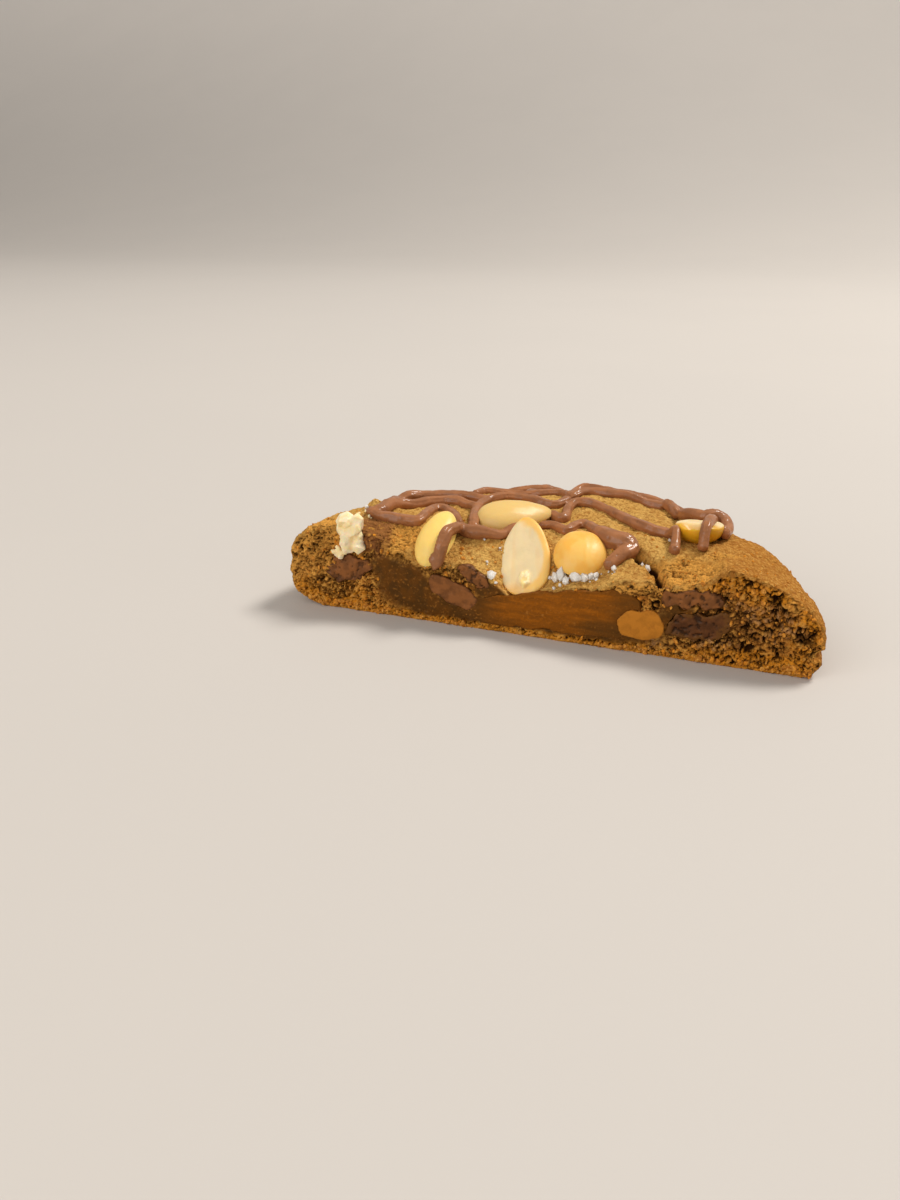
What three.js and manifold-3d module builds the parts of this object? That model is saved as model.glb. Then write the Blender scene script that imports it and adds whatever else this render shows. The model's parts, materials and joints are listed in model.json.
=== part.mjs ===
// Half of a thick, soft-baked peanut butter cookie, cut straight across its middle. The cut shows
// the crumb, a pool of caramel filling, lumps of chocolate and a peanut butter chip. Split peanuts,
// a chocolate drizzle and salt flakes lie on the crown.
//
// Millimetres. While the pieces are shaped, the cut face lies in the plane y = 0 with x along it, y
// runs back into the cookie, and z = 0 is the flat base. At the end the group is moved so that its
// origin is under the middle of its box.

import * as THREE from 'three';
import { mergeVertices } from 'three/addons/utils/BufferGeometryUtils.js';
import Module from 'manifold-3d';

const wasm = await Module();
wasm.setup();

// Driving dimensions

const RADIUS = 53.3; // plan radius of the whole cookie
const CROWN = 18.4; // height of the baked top over the base
const WIDEST = 6; // height at which the side is widest
const FOOT = 3; // how far the side tucks in under that
const BROKEN_FOOT = 7; // the same at the left end, where the crumb broke away
const SHOULDER = 5.5; // exponent of the crown's round shoulder
const BROKEN_SHOULDER = 24; // the same at the left end, which broke off square
const CUT_BACK = 0.35; // how far the cut face lies behind the plane y = 0, on average
const FIT = 0.25; // gap round whatever is set into the dough
const STRAND = 2.3; // thickness of the drizzle

// How far the crown has sunk at the cut, over x: the filling ran and the crust sagged over it.
const SAG = [[-39, 0], [-33, 0.9], [-30, 3.4], [-24, 6], [-15, 5.4], [-9, 6.7], [-5, 8.9], [1, 8.5],
  [9, 7.2], [17, 4.1], [25, 3.4], [31, 3], [35, 0.2], [44, 0]];

// Low swellings and dips of the crown: height, middle x and y, and reach in x and y
const BUMPS = [
  [1.2, 38, 2, 7, 9], // unbroken crust that stands high at the right of the cut
  [0.9, -41, 17, 6, 6], // a lump behind the left end
  [0.6, -27, 7, 4, 3], // the edge of the broken ledge
  [1.2, 4, 39, 13, 8], // the highest part, well behind the cut
  [-1.9, 27, 5.5, 5.5, 4], // where a scale of crust came off
  [-1.2, -9, 19, 9, 7], // the bed of the peanut that lies behind
  [-2, -3.2, 2.4, 5, 4], // the foot of the standing peanut
];

// Small functions

const { degToRad, lerp, smoothstep } = THREE.MathUtils;
const bell = (x, y, cx, cy, wx, wy) => Math.exp(-(((x - cx) / wx) ** 2) - ((y - cy) / wy) ** 2);

function eased(points, x) {
  if (x <= points[0][0]) return points[0][1];
  for (let i = 1; i < points.length; i++) {
    const [x0, y0] = points[i - 1];
    const [x1, y1] = points[i];
    if (x < x1) return lerp(y0, y1, smoothstep(x, x0, x1));
  }
  return points.at(-1)[1];
}

// A repeatable number from -1 to 1 for each place, for what is uneven
function uneven(a, b, c = 0) {
  const wave = Math.sin(a * 12.9898 + b * 78.233 + c * 37.719) * 43758.5453;
  return 2 * (wave - Math.floor(wave)) - 1;
}

// Solids and meshes

// A closed skin over rings of points that follow one another. The first and last ring are single
// points, and a ring may have half or twice the points of its neighbour.
function skin(rings) {
  const faces = [];
  let start = 0;
  for (let k = 0; k + 1 < rings.length; k++) {
    const [n, m] = [rings[k].length, rings[k + 1].length];
    const steps = Math.max(n, m);
    const near = (i) => start + (Math.floor(i * n / steps) % n);
    const far = (i) => start + n + (Math.floor(i * m / steps) % m);
    for (let i = 0; i < steps; i++) {
      if (far(i) !== far(i + 1)) faces.push(near(i), far(i), far(i + 1));
      if (near(i) !== near(i + 1)) faces.push(near(i), far(i + 1), near(i + 1));
    }
    start += n;
  }
  const geometry = new THREE.BufferGeometry();
  geometry.setAttribute('position', new THREE.Float32BufferAttribute(rings.flat(2), 3));
  geometry.setIndex(faces);
  return geometry;
}

function solid(geometry, matrix = new THREE.Matrix4()) {
  let bare = new THREE.BufferGeometry();
  bare.setAttribute('position', geometry.getAttribute('position').clone());
  if (geometry.index) bare.setIndex(geometry.index.clone());
  bare = mergeVertices(bare.applyMatrix4(matrix), 1e-4);
  return new wasm.Manifold(new wasm.Mesh({
    numProp: 3,
    vertProperties: new Float32Array(bare.getAttribute('position').array),
    triVerts: new Uint32Array(bare.index.array),
  }));
}

const joined = (body, others) => others.reduce((whole, other) => whole.add(other), body);
const carved = (body, others) => others.reduce((rest, other) => rest.subtract(other), body);
const largest = (body) => body.decompose().reduce((a, b) => (a.volume() > b.volume() ? a : b));

function geometryOf(body) {
  const { vertProperties, triVerts } = body.getMesh();
  const geometry = new THREE.BufferGeometry();
  geometry.setAttribute('position', new THREE.BufferAttribute(vertProperties, 3));
  geometry.setIndex(new THREE.BufferAttribute(triVerts, 1));
  geometry.computeVertexNormals();
  return geometry;
}

// Moves each corner of a geometry to where shape(x, y, z) puts it.
function reshaped(geometry, shape) {
  const place = geometry.getAttribute('position');
  for (let i = 0; i < place.count; i++) {
    place.setXYZ(i, ...shape(place.getX(i), place.getY(i), place.getZ(i)));
  }
  return geometry;
}

const finish = {
  dough: new THREE.MeshStandardMaterial({ color: 0xa8733a, roughness: 0.85 }),
  caramel: new THREE.MeshStandardMaterial({ color: 0xa0601e, roughness: 0.35 }),
  chocolate: new THREE.MeshStandardMaterial({ color: 0x6d4434, roughness: 0.4 }),
  dark: new THREE.MeshStandardMaterial({ color: 0x4a2a1c, roughness: 0.5 }),
  chip: new THREE.MeshStandardMaterial({ color: 0xb9722f, roughness: 0.5 }),
  peanut: new THREE.MeshStandardMaterial({ color: 0xe3bd6b, roughness: 0.55 }),
  crushed: new THREE.MeshStandardMaterial({ color: 0xe8d9b4, roughness: 0.7 }),
};

const cookie = new THREE.Group();

function addMesh(name, geometry, material) {
  const mesh = new THREE.Mesh(geometry, material);
  mesh.name = name;
  cookie.add(mesh);
  return mesh;
}

// The baked dough

function rimRadius(angle) {
  const waves = 0.004 * Math.sin(7 * angle + 2.6) + 0.003 * Math.sin(13 * angle);
  return RADIUS * (1 - 0.01 * Math.cos(angle) + waves);
}

function crown(x, y) {
  const angle = Math.atan2(y, x);
  const out = Math.min(1, Math.hypot(x, y) / rimRadius(angle));
  const squareness = lerp(SHOULDER, BROKEN_SHOULDER, smoothstep(angle, degToRad(130), degToRad(174)));
  const dome = (CROWN - WIDEST) * Math.sqrt(1 - out ** squareness);
  const reach = lerp(5, 8, smoothstep(x, -27, -17));
  const sag = eased(SAG, x) * Math.exp(-((y / reach) ** 2)) * Math.min(1, (1 - out) / 0.03);
  const slope = 1.3 * bell(x, y, -53, 2, 9, 14) * (1 - out ** 40);
  const bumps = BUMPS.reduce((sum, [height, ...place]) => sum + height * bell(x, y, ...place), 0);
  const waves = 0.3 * Math.sin(x / 4.1 + 1) * Math.sin(y / 5.3 + 0.6) + 0.12 * uneven(x, y);
  return WIDEST + dome - sag - slope + (bumps + waves) * (1 - smoothstep(out, 0.85, 0.97));
}

// The body is a stack of rings, each a copy of the outline drawn in towards a middle point. The
// outline runs round the baked side and closes along a straight front, just ahead of the cut.
function doughBody() {
  const FRONT = 4;
  const MIDDLE_Y = 20;
  const SIDE_POINTS = 56;
  const FRONT_POINTS = 48;
  const TOP_RINGS = [[0.22, 4], [0.4, 2], [0.54, 2], [0.65, 1], [0.72, 1], [0.78, 1], [0.83, 1],
    [0.89, 1], [0.94, 1], [0.975, 1], [1, 1]]; // share of the outline, and every how many points
  const FOOT_TURNS = [0.35, 0.7, 1];
  const BASE_RINGS = [[0.7, 2], [0.35, 4]];

  const turn = Math.asin(FRONT / RADIUS);
  const outline = [];
  for (let i = 0; i < SIDE_POINTS; i++) {
    const angle = lerp(-turn, Math.PI + turn, i / SIDE_POINTS);
    outline.push([rimRadius(angle) * Math.cos(angle), rimRadius(angle) * Math.sin(angle)]);
  }
  const left = -rimRadius(Math.PI + turn) * Math.cos(turn);
  for (let i = 0; i < FRONT_POINTS; i++) outline.push([lerp(left, outline[0][0], i / FRONT_POINTS), -FRONT]);

  const drawnIn = (ring, share, skip) => ring
    .filter((_, i) => i % skip === 0)
    .map(([x, y]) => [x * share, MIDDLE_Y + (y - MIDDLE_Y) * share]);

  const rings = [[[0, MIDDLE_Y, crown(0, MIDDLE_Y)]]];
  for (const [share, skip] of TOP_RINGS) {
    rings.push(drawnIn(outline, share, skip).map(([x, y]) => [x, y, share === 1 ? WIDEST : crown(x, y)]));
  }
  for (const t of FOOT_TURNS) {
    rings.push(outline.map(([x, y]) => {
      const foot = lerp(FOOT, BROKEN_FOOT, smoothstep(-x, 44, 52));
      const inset = 1 - (foot / RADIUS) * (1 - Math.cos(t * Math.PI / 2));
      return [x * inset, y * inset, WIDEST * (1 - Math.sin(t * Math.PI / 2))];
    }));
  }
  const base = rings.at(-1);
  for (const [share, skip] of BASE_RINGS) rings.push(drawnIn(base, share, skip).map((p) => [...p, 0]));
  rings.push([[0, MIDDLE_Y, 0]]);
  return solid(skin(rings));
}

// The knife takes away all that lies ahead of the cut. The crumb tears, and the filling is wiped
// smooth and a little hollow.
function knife() {
  const WIDTH = 118;
  const HEIGHT = 28;
  const DEPTH = 15;
  const COLUMNS = 54;
  const ROWS = 14;
  const box = new THREE.BoxGeometry(WIDTH, DEPTH, HEIGHT, COLUMNS, 1, ROWS);
  box.translate(0, -DEPTH / 2, HEIGHT / 2 - 2);
  return solid(reshaped(box, (x, y, z) => {
    if (y < 0) return [x, y, z];
    const filling = bell(x, z, 4.5, 5, 22, 6);
    const crumb = 1 - Math.min(1, filling + bell(x, z, -25, 6, 9, 7));
    const waves = 0.45 * Math.sin(x * 0.9 + z * 0.6) * Math.sin(z * 1.1 - x * 0.3);
    const torn = CUT_BACK + crumb * (waves + 0.4 * uneven(x, z, 1)) + 0.35 * filling;
    return [x + 0.7 * uneven(x, z, 2), torn, z + 0.6 * uneven(x, z, 3)];
  }));
}

// The crack that runs back from the lip, beside a raised flap of crust: a wedge along its route
function crack() {
  const ROUTE = [[24.5, -3], [23.4, 1], [22, 4.6], [19.5, 7.2], [16.8, 8.6]];
  const HALF_WIDTH = 0.8;
  const DEPTH = 3.4;
  const OVER = 2;
  const rings = ROUTE.slice(1, -1).map(([x, y], i) => {
    const [before, after] = [ROUTE[i], ROUTE[i + 2]].map((place) => new THREE.Vector2(...place));
    const along = after.sub(before).setLength(HALF_WIDTH);
    const top = crown(x, y) + OVER;
    return [
      [x, y, crown(x, y) - DEPTH],
      [x + along.y, y - along.x, top],
      [x - along.y, y + along.x, top],
    ];
  });
  const end = ([x, y]) => [[x, y, crown(x, y) + OVER]];
  return solid(skin([end(ROUTE[0]), ...rings, end(ROUTE.at(-1))]));
}

// What is set into the dough and shows at the cut

// A lump of chocolate, or a chip: a ball drawn out to its half sizes along, into and up the cut,
// turned by tilt in the plane of the cut, and roughened by a share of its size
function lump({ at, half, tilt, rough = 0, detail = 1 }, grow = 0) {
  const ball = reshaped(new THREE.IcosahedronGeometry(1, detail), (x, y, z) => {
    const size = 1 + rough * uneven(Math.round(x * 7), Math.round(y * 7), Math.round(z * 7));
    return [x, y, z].map((v, i) => v * size * (half[i] + grow));
  });
  return solid(ball, new THREE.Matrix4().makeRotationY(degToRad(-tilt)).setPosition(...at));
}

// The caramel: half of a round, flat pool. Its top and base are flatter than a ball's.
function pool({ at, half, tilt }, grow = 0) {
  const FLATNESS = 0.65;
  const ball = reshaped(new THREE.SphereGeometry(1, 20, 8), (x, y, z) => {
    const reach = (Math.hypot(x, z) || 1) ** (FLATNESS - 1);
    const up = Math.sign(y) * Math.abs(y) ** FLATNESS;
    return [x * reach * (half[0] + grow), -z * reach * (half[1] + grow), up * (half[2] + grow)];
  });
  return solid(ball, new THREE.Matrix4().makeRotationY(degToRad(-tilt)).setPosition(...at));
}

const { chip, chocolate, dark, caramel } = finish;
const INSETS = [
  { name: 'peanut_butter_chip', look: chip, shape: lump, at: [20.5, 0.6, 5.8], half: [4.6, 4.2, 3],
    tilt: 4, detail: 2 },
  { name: 'chocolate_chunk_1', look: chocolate, shape: lump, at: [-17.1, 0.5, 7.3], half: [4.9, 4.5, 2.5],
    tilt: -24, rough: 0.05, detail: 2 },
  { name: 'chocolate_chunk_2', look: chocolate, shape: lump, at: [-13.4, 1, 11.3], half: [3.4, 2.4, 1.4],
    tilt: -30, rough: 0.1 },
  { name: 'chocolate_chunk_3', look: chocolate, shape: lump, at: [-40.1, 1, 8.5], half: [5.2, 3.6, 2.4],
    tilt: 28, rough: 0.15 },
  { name: 'chocolate_chunk_4', look: chocolate, shape: lump, at: [28.6, 1, 12], half: [5.6, 3.2, 1.4],
    tilt: 2, rough: 0.12 },
  { name: 'melted_chocolate', look: dark, shape: lump, at: [30.9, 0.5, 7], half: [5.4, 4.5, 3.2],
    tilt: 4, rough: 0.08 },
  { name: 'caramel_filling', look: caramel, shape: pool, at: [4.2, 0, 5.2], half: [18, 18, 3.6], tilt: 4 },
];

// Peanuts

// A split peanut: its length is local y, its rounded back faces local +z, and its flat, slightly
// dished face local -z. The base end is the blunter one.
function peanutHalf({ length, width, thick }, grow = 0) {
  const STEPS = 8;
  const AROUND = 10;
  const EDGE = thick / 4; // how far the widest line lies from the flat side
  const rings = [[[0, -length / 2 - grow, EDGE]]];
  for (let i = 1; i < STEPS; i++) {
    const along = -Math.cos(Math.PI * i / STEPS);
    const girth = Math.sqrt(1 - along * along) * (1 - 0.1 * along);
    rings.push(Array.from({ length: AROUND }, (_, k) => {
      const across = Math.cos(2 * Math.PI * k / AROUND);
      const up = Math.sin(2 * Math.PI * k / AROUND);
      const dish = Math.min(1, girth * 1.6) * (1 - 0.55 * up * up);
      const rise = up > 0 ? (thick - EDGE) * girth : EDGE * dish;
      return [across * (width / 2 * girth + grow), along * (length / 2 + grow), EDGE + up * (rise + grow)];
    }));
  }
  rings.push([[0, length / 2 + grow, EDGE]]);
  return skin(rings);
}

// A crushed bit of peanut: a block with uneven corners
function peanutBit({ length, width, thick }, grow = 0) {
  return reshaped(new THREE.IcosahedronGeometry(0.5, 1), (x, y, z) => {
    const jag = 1 + 0.16 * uneven(Math.round(x * 9), Math.round(y * 9), Math.round(z * 9));
    return [x * (width + 2 * grow) * jag, y * (length + 2 * grow) * jag, z * (thick + 2 * grow) * jag];
  });
}

// Each peanut by the two ends of its length, and the way that its rounded back faces
const PEANUTS = [
  { name: 'peanut_standing', base: [-2.1, 0.6, 9], tip: [-5.4, 11.8, 20.9], back: [0, 0.7, -0.7],
    width: 10, thick: 4.4 },
  { name: 'peanut_left', base: [-23.7, 0.8, 11.8], tip: [-21.9, 11.6, 18.8], back: [-0.1, -0.5, 0.8],
    width: 7.8, thick: 4.2 },
  { name: 'peanut_behind', base: [-14.8, 14.8, 17], tip: [-4, 22.2, 17.7], back: [0, -0.1, 1],
    width: 8.6, thick: 3.8 },
  { name: 'peanut_round', base: [7.6, 3.4, 12.2], tip: [5.4, 13.2, 17.6], back: [0.1, -0.5, 0.8],
    width: 10.4, thick: 4.4 },
  { name: 'peanut_right', base: [22.6, 17.6, 19], tip: [32, 22.6, 18.8], back: [0.1, 0.5, -0.8],
    width: 8.2, thick: 3.6 },
  { name: 'peanut_rear_1', base: [21.4, 45.4, 10.9], tip: [10, 49.2, 10.6], back: [0.3, 0.9, 0.3],
    width: 8.8, thick: 4 },
  { name: 'peanut_rear_2', base: [-6, 49.8, 10.4], tip: [-17.8, 47, 10.8], back: [-0.2, 0.9, 0.3],
    width: 9.2, thick: 4 },
  { name: 'peanut_rear_3', base: [-34.8, 36.8, 11], tip: [-42, 28, 11.2], back: [-0.7, 0.6, 0.3],
    width: 8.6, thick: 4 },
  { name: 'crushed_peanut_1', base: [-39.8, 0.8, 13.6], tip: [-38.6, 2, 22.4], back: [0, -1, 0.2],
    width: 6.6, thick: 4.2, crushed: true },
  { name: 'crushed_peanut_2', base: [-44.2, 0.6, 13.2], tip: [-40.8, 0.5, 13], back: [0, -1, 0],
    width: 3, thick: 2.4, crushed: true },
];

for (const nut of PEANUTS) {
  const base = new THREE.Vector3(...nut.base);
  const tip = new THREE.Vector3(...nut.tip);
  const make = nut.crushed ? peanutBit : peanutHalf;
  nut.length = base.distanceTo(tip);
  const along = tip.clone().sub(base).normalize();
  const side = along.clone().cross(new THREE.Vector3(...nut.back)).normalize();
  const back = side.clone().cross(along);
  nut.mesh = addMesh(nut.name, make(nut), nut.crushed ? finish.crushed : finish.peanut);
  nut.mesh.position.copy(base.add(tip).divideScalar(2));
  nut.mesh.quaternion.setFromRotationMatrix(new THREE.Matrix4().makeBasis(side, along, back));
  nut.mesh.updateMatrixWorld();
  nut.socket = solid(make(nut, FIT), nut.mesh.matrixWorld);
}

// The drizzle: strands of chocolate over the crown and the peanuts, each by its places in plan

const STRANDS = [
  [[-35.5, 11], [-36.2, 17], [-35.3, 21.5], [-30.5, 27.5], [-24.5, 32.5], [-18, 35], [-11, 36.5],
    [-6, 38.5], [-2.5, 38.5], [-1.5, 35.5]],
  [[-36, 12], [-33, 15], [-30.5, 19.5], [-27.5, 21.5], [-23.3, 20], [-19.5, 18.6], [-17.3, 18]],
  [[-38, 6.5], [-34, 6.5], [-30.5, 6.8], [-27.3, 6.2], [-26.2, 9], [-27, 13.5], [-26.3, 16.8],
    [-23.8, 16.6], [-20.8, 12.8], [-18.9, 9.9], [-17, 9], [-13.8, 9], [-10.8, 9.6], [-8.4, 12.2],
    [-6, 14.4], [-3, 14.8], [0, 13.8], [3.2, 13.6], [4.4, 15.6], [5.6, 16.6], [7.8, 14.7],
    [10, 12.2], [14.2, 11.6], [16.4, 9.8], [15.7, 7.6], [14.5, 5.6], [13.9, 4.2]],
  [[-18.9, 10.4], [-20.3, 8], [-20.6, 5.5], [-20.6, 3], [-20.5, 1.3]],
  [[-16, 9.7], [-16.4, 12.5], [-17, 17], [-17, 21.5], [-16, 26], [-13.5, 28.4], [-9.4, 29.3],
    [-5.7, 28.4], [-2.7, 29], [-1.4, 33], [-1.3, 36]],
  [[-1.5, 35.5], [-0.5, 39.5], [2, 41], [5, 40.5], [11, 38.5], [15, 37], [20.2, 34.5], [21.8, 32]],
  [[1.5, 41.5], [5.5, 43], [9, 42.6], [12.5, 41.6], [16, 40.4], [19, 38.4], [21.5, 34]],
  [[-1.6, 20.5], [-0.7, 23], [-1, 26.5], [1, 28.9], [4, 29.4], [7.6, 27.7], [10.8, 25.5],
    [15.8, 20.6], [18.8, 17.5], [21.1, 17.2], [23, 17.6], [24, 14], [24.4, 10.8]],
  [[21.6, 33], [23.5, 30.5], [26.5, 28.6], [29.5, 27.6], [31.6, 26.4], [32.4, 24], [32, 21.5]],
  [[30.5, 28], [30, 22], [29.7, 17.5], [29.5, 12.4]],
  [[-35.5, 21], [-40, 25], [-37, 31], [-29, 37.4], [-21, 43.4], [-12, 46.6], [-2, 47.6], [8, 47.4],
    [18, 43.6], [26, 39.6], [33.2, 32.4], [34.4, 27], [32.4, 24]],
];

// The height of what a strand lies on: the crown, or a peanut that lies in the crown
function ground(x, y) {
  const lying = PEANUTS.filter(({ name, crushed }) => !crushed && name !== 'peanut_standing');
  const ray = new THREE.Raycaster(new THREE.Vector3(x, y, 2 * CROWN), new THREE.Vector3(0, 0, -1));
  const [hit] = ray.intersectObjects(lying.map((nut) => nut.mesh), false);
  return Math.max(crown(x, y), hit ? hit.point.z + FIT : 0);
}

function strand(places) {
  const STEP = 3.3;
  const SIDES = 5;
  const SUNK = 0.3; // share of its half thickness by which a strand's middle lies over the ground
  const points = places.map(([x, y]) => new THREE.Vector3(x, y, 0));
  const plan = new THREE.CatmullRomCurve3(points, false, 'centripetal');
  const route = plan.getSpacedPoints(Math.ceil(plan.getLength() / STEP)).map((p) => {
    const under = [[0, 0], [1, 0], [-1, 0], [0, 1], [0, -1]].map(([x, y]) => ground(p.x + x, p.y + y));
    return p.setZ(Math.max(...under) + SUNK * STRAND / 2);
  });
  const rings = route.slice(1, -1).map((p, i) => {
    const along = route[i + 2].clone().sub(route[i]).normalize();
    const side = new THREE.Vector3(-along.y, along.x, 0).normalize();
    const up = along.clone().cross(side);
    const size = (1 + 0.12 * uneven(p.x, p.y)) * STRAND / 2;
    return Array.from({ length: SIDES }, (_, k) => {
      const angle = -2 * Math.PI * k / SIDES;
      const across = side.clone().multiplyScalar(1.1 * size * Math.cos(angle));
      return p.clone().add(across).addScaledVector(up, size * Math.sin(angle)).toArray();
    });
  });
  return solid(skin([[route[0].toArray()], ...rings, [route.at(-1).toArray()]]));
}

// Salt: a few thin, angular flakes pressed into the crust, each by its place in plan and its size

const FLAKES = [[2.6, 3, 2.6], [4.6, 3.4, 2.4], [4, 5.4, 1.6], [8.6, 2, 1.9], [10.2, 3, 1.6],
  [11.8, 3.4, 1.3], [-8.4, 1.2, 1.8], [-8.4, 3.4, 1.3], [-26, 1.6, 1.5], [14, 4.4, 1.2],
  [20.6, 3.2, 1.3], [12, 20, 1.4], [-10, 25, 1.4], [18, 27, 1.5]];

function flake([x, y, size], i) {
  const crystal = new THREE.CylinderGeometry(size * 0.36, size * 0.5, size * 0.5, 4);
  const lean = [90 + 35 * uneven(i, 1), 35 * uneven(i, 2), 180 * uneven(i, 3)].map(degToRad);
  const matrix = new THREE.Matrix4().makeRotationFromEuler(new THREE.Euler(...lean));
  return solid(crystal, matrix.setPosition(x, y, crown(x, y) + size * 0.1));
}

// Assembly

const blade = knife();
const sockets = PEANUTS.map((nut) => nut.socket);
for (const inset of INSETS) {
  const body = carved(inset.shape(inset).subtract(blade), sockets);
  addMesh(inset.name, geometryOf(largest(body)), inset.look);
  sockets.push(inset.shape(inset, FIT));
}

const topped = joined(doughBody().subtract(crack()), [...STRANDS.map(strand), ...FLAKES.map(flake)]);
addMesh('cookie_dough', geometryOf(largest(carved(topped.subtract(blade), sockets))), finish.dough);

cookie.updateMatrixWorld(true);
const box = new THREE.Box3().setFromObject(cookie, true);
const middle = box.getCenter(new THREE.Vector3());
cookie.position.set(-middle.x, -middle.y, -box.min.z);

export default cookie;
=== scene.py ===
"""Looks of half a peanut butter cookie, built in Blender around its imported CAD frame.

Shapes are worked out in millimetres, as in the CAD source: the cut face lies in the plane y = 0 with x
along it, y runs back into the cookie, and z = 0 is the base. The mesh of a finished piece is then scaled
to metres and moved into the frame.
"""

import json
import math
import random

import bpy
from mathutils import Euler, Matrix, Vector, noise
from mathutils.bvhtree import BVHTree
from mathutils.kdtree import KDTree

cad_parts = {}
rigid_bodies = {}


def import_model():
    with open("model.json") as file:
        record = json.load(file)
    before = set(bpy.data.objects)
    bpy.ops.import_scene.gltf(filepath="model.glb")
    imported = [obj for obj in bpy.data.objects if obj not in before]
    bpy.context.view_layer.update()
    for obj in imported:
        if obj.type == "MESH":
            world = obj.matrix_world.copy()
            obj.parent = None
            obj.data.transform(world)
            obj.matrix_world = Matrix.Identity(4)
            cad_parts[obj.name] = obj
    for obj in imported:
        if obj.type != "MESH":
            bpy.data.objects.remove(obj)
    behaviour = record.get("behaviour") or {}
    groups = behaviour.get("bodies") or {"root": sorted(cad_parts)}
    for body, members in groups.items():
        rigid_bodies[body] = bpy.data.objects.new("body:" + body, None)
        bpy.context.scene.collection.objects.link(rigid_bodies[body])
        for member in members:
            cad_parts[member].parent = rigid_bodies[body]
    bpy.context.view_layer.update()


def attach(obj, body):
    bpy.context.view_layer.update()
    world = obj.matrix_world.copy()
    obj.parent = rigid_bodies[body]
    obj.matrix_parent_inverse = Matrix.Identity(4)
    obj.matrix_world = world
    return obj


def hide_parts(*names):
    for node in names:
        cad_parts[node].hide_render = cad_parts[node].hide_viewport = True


bl_info = {
    "name": "Peanut butter cookie half",
    "version": (1, 0, 0),
    "blender": (4, 5, 0),
    "location": "3D View > Sidebar > Cookie",
    "description": "Builds the crumb, filling and toppings of a halved cookie around its CAD frame",
    "category": "Object",
}

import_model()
noise.seed_set(4)  # the vector noise starts from the clock without it

MM = 0.001
PLACE = Vector((0.427, -26.533, 0))  # where the origin of the shapes lies in the frame, in millimetres

# Driving dimensions, as in the CAD source

RADIUS = 53.3  # plan radius of the whole cookie
CROWN = 18.4  # height of the baked top over the base
WIDEST = 6  # height at which the side is widest
FOOT = 3  # how far the side tucks in under that
BROKEN_FOOT = 7  # the same at the left end, where the crumb broke away
SHOULDER = 5.5  # exponent of the crown's round shoulder
BROKEN_SHOULDER = 24  # the same at the left end, which broke off square
CUT_BACK = 0.35  # how far the cut face lies behind the plane y = 0

# How far the crown has sunk at the cut, over x
SAG = [(-39, 0), (-33, 0.9), (-30, 3.4), (-24, 6), (-15, 5.4), (-9, 6.7), (-5, 8.9), (1, 8.5),
       (9, 7.2), (17, 4.1), (25, 3.4), (31, 3), (35, 0.2), (44, 0)]

# Low swellings and dips of the crown: height, middle x and y, and reach in x and y
BUMPS = [(1.2, 38, 2, 7, 9), (0.6, -41, 17, 6, 6), (0.6, -27, 7, 4, 3), (1.7, 8, 38, 15, 9),
         (0.9, -25, 30, 9, 7), (-1.9, 27, 5.5, 5.5, 4), (-1.2, -9, 19, 9, 7), (-2, -3.2, 2.4, 5, 4),
         (1, 38, 20, 8, 9), (2.3, -39, 13.4, 1.7, 1.5)]

# The crack beside the raised flap of crust: its route in plan, half width and depth
CRACK = [(24.8, -3), (23.6, 1), (22.6, 4.6), (20.6, 7.4), (17.4, 8.8)]
CRACK_WIDTH = 1.1
CRACK_DEPTH = 3.2

# Where the crust came off and the crumb lies bare on top: middle x and y, and reach in x and y
BARE = [(27, 5, 7, 4.5), (-31.5, 4, 6.5, 5), (-47, 3, 5, 4), (33, 10.5, 3, 1.2)]

# What is set in at the cut: middle x, depth and z, half sizes along, into and up the cut, tilt in
# degrees, how square its outline is, how far that strays, how rough its surface is, and how much taller
# it gets for each millimetre to the right
INSETS = {
    "caramel_filling": dict(
        at=(2.6, 0, 5.9), half=(18.4, 18, 4.1), tilt=6, square=4, stray=0.7, rough=0.12, widen=0.02),
    "peanut_butter_chip": dict(
        at=(20.5, 0.6, 5.8), half=(4.6, 4.2, 3), tilt=4, square=2.3, stray=0.6, rough=0.06, widen=0),
    "chocolate_chunk_1": dict(
        at=(-17.1, 0.5, 7.3), half=(5.3, 4.5, 2.3), tilt=-22, square=2.8, stray=0.6, rough=0.1, widen=0),
    "chocolate_chunk_2": dict(
        at=(-12.8, 1, 11.2), half=(3.6, 2.4, 1.6), tilt=-30, square=2.4, stray=0.9, rough=0.4, widen=0),
    "chocolate_chunk_3": dict(
        at=(-39.6, 1, 9.3), half=(5.3, 3.6, 2.9), tilt=18, square=2.4, stray=1.6, rough=0.35, widen=0),
    "chocolate_chunk_4": dict(
        at=(28.8, 1, 12.3), half=(5.6, 3.2, 1.5), tilt=2, square=2.3, stray=1.2, rough=0.4, widen=0),
    "melted_chocolate": dict(
        at=(30.4, 0.5, 7.2), half=(5.9, 4.5, 3.1), tilt=10, square=2, stray=1.4, rough=0.4, widen=0),
}

# Moist zones of the cut, wiped smooth: middle x and z, and reach in x and z
MOIST = [(-27, 7, 6, 5), (-31, 10.4, 3.6, 3), (-20, 3.8, 9, 3), (-8, 3.4, 9, 3), (4.5, 5, 21, 4.4),
         (-6, 8.6, 7, 2), (27.5, 8, 4, 3.6)]

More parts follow.
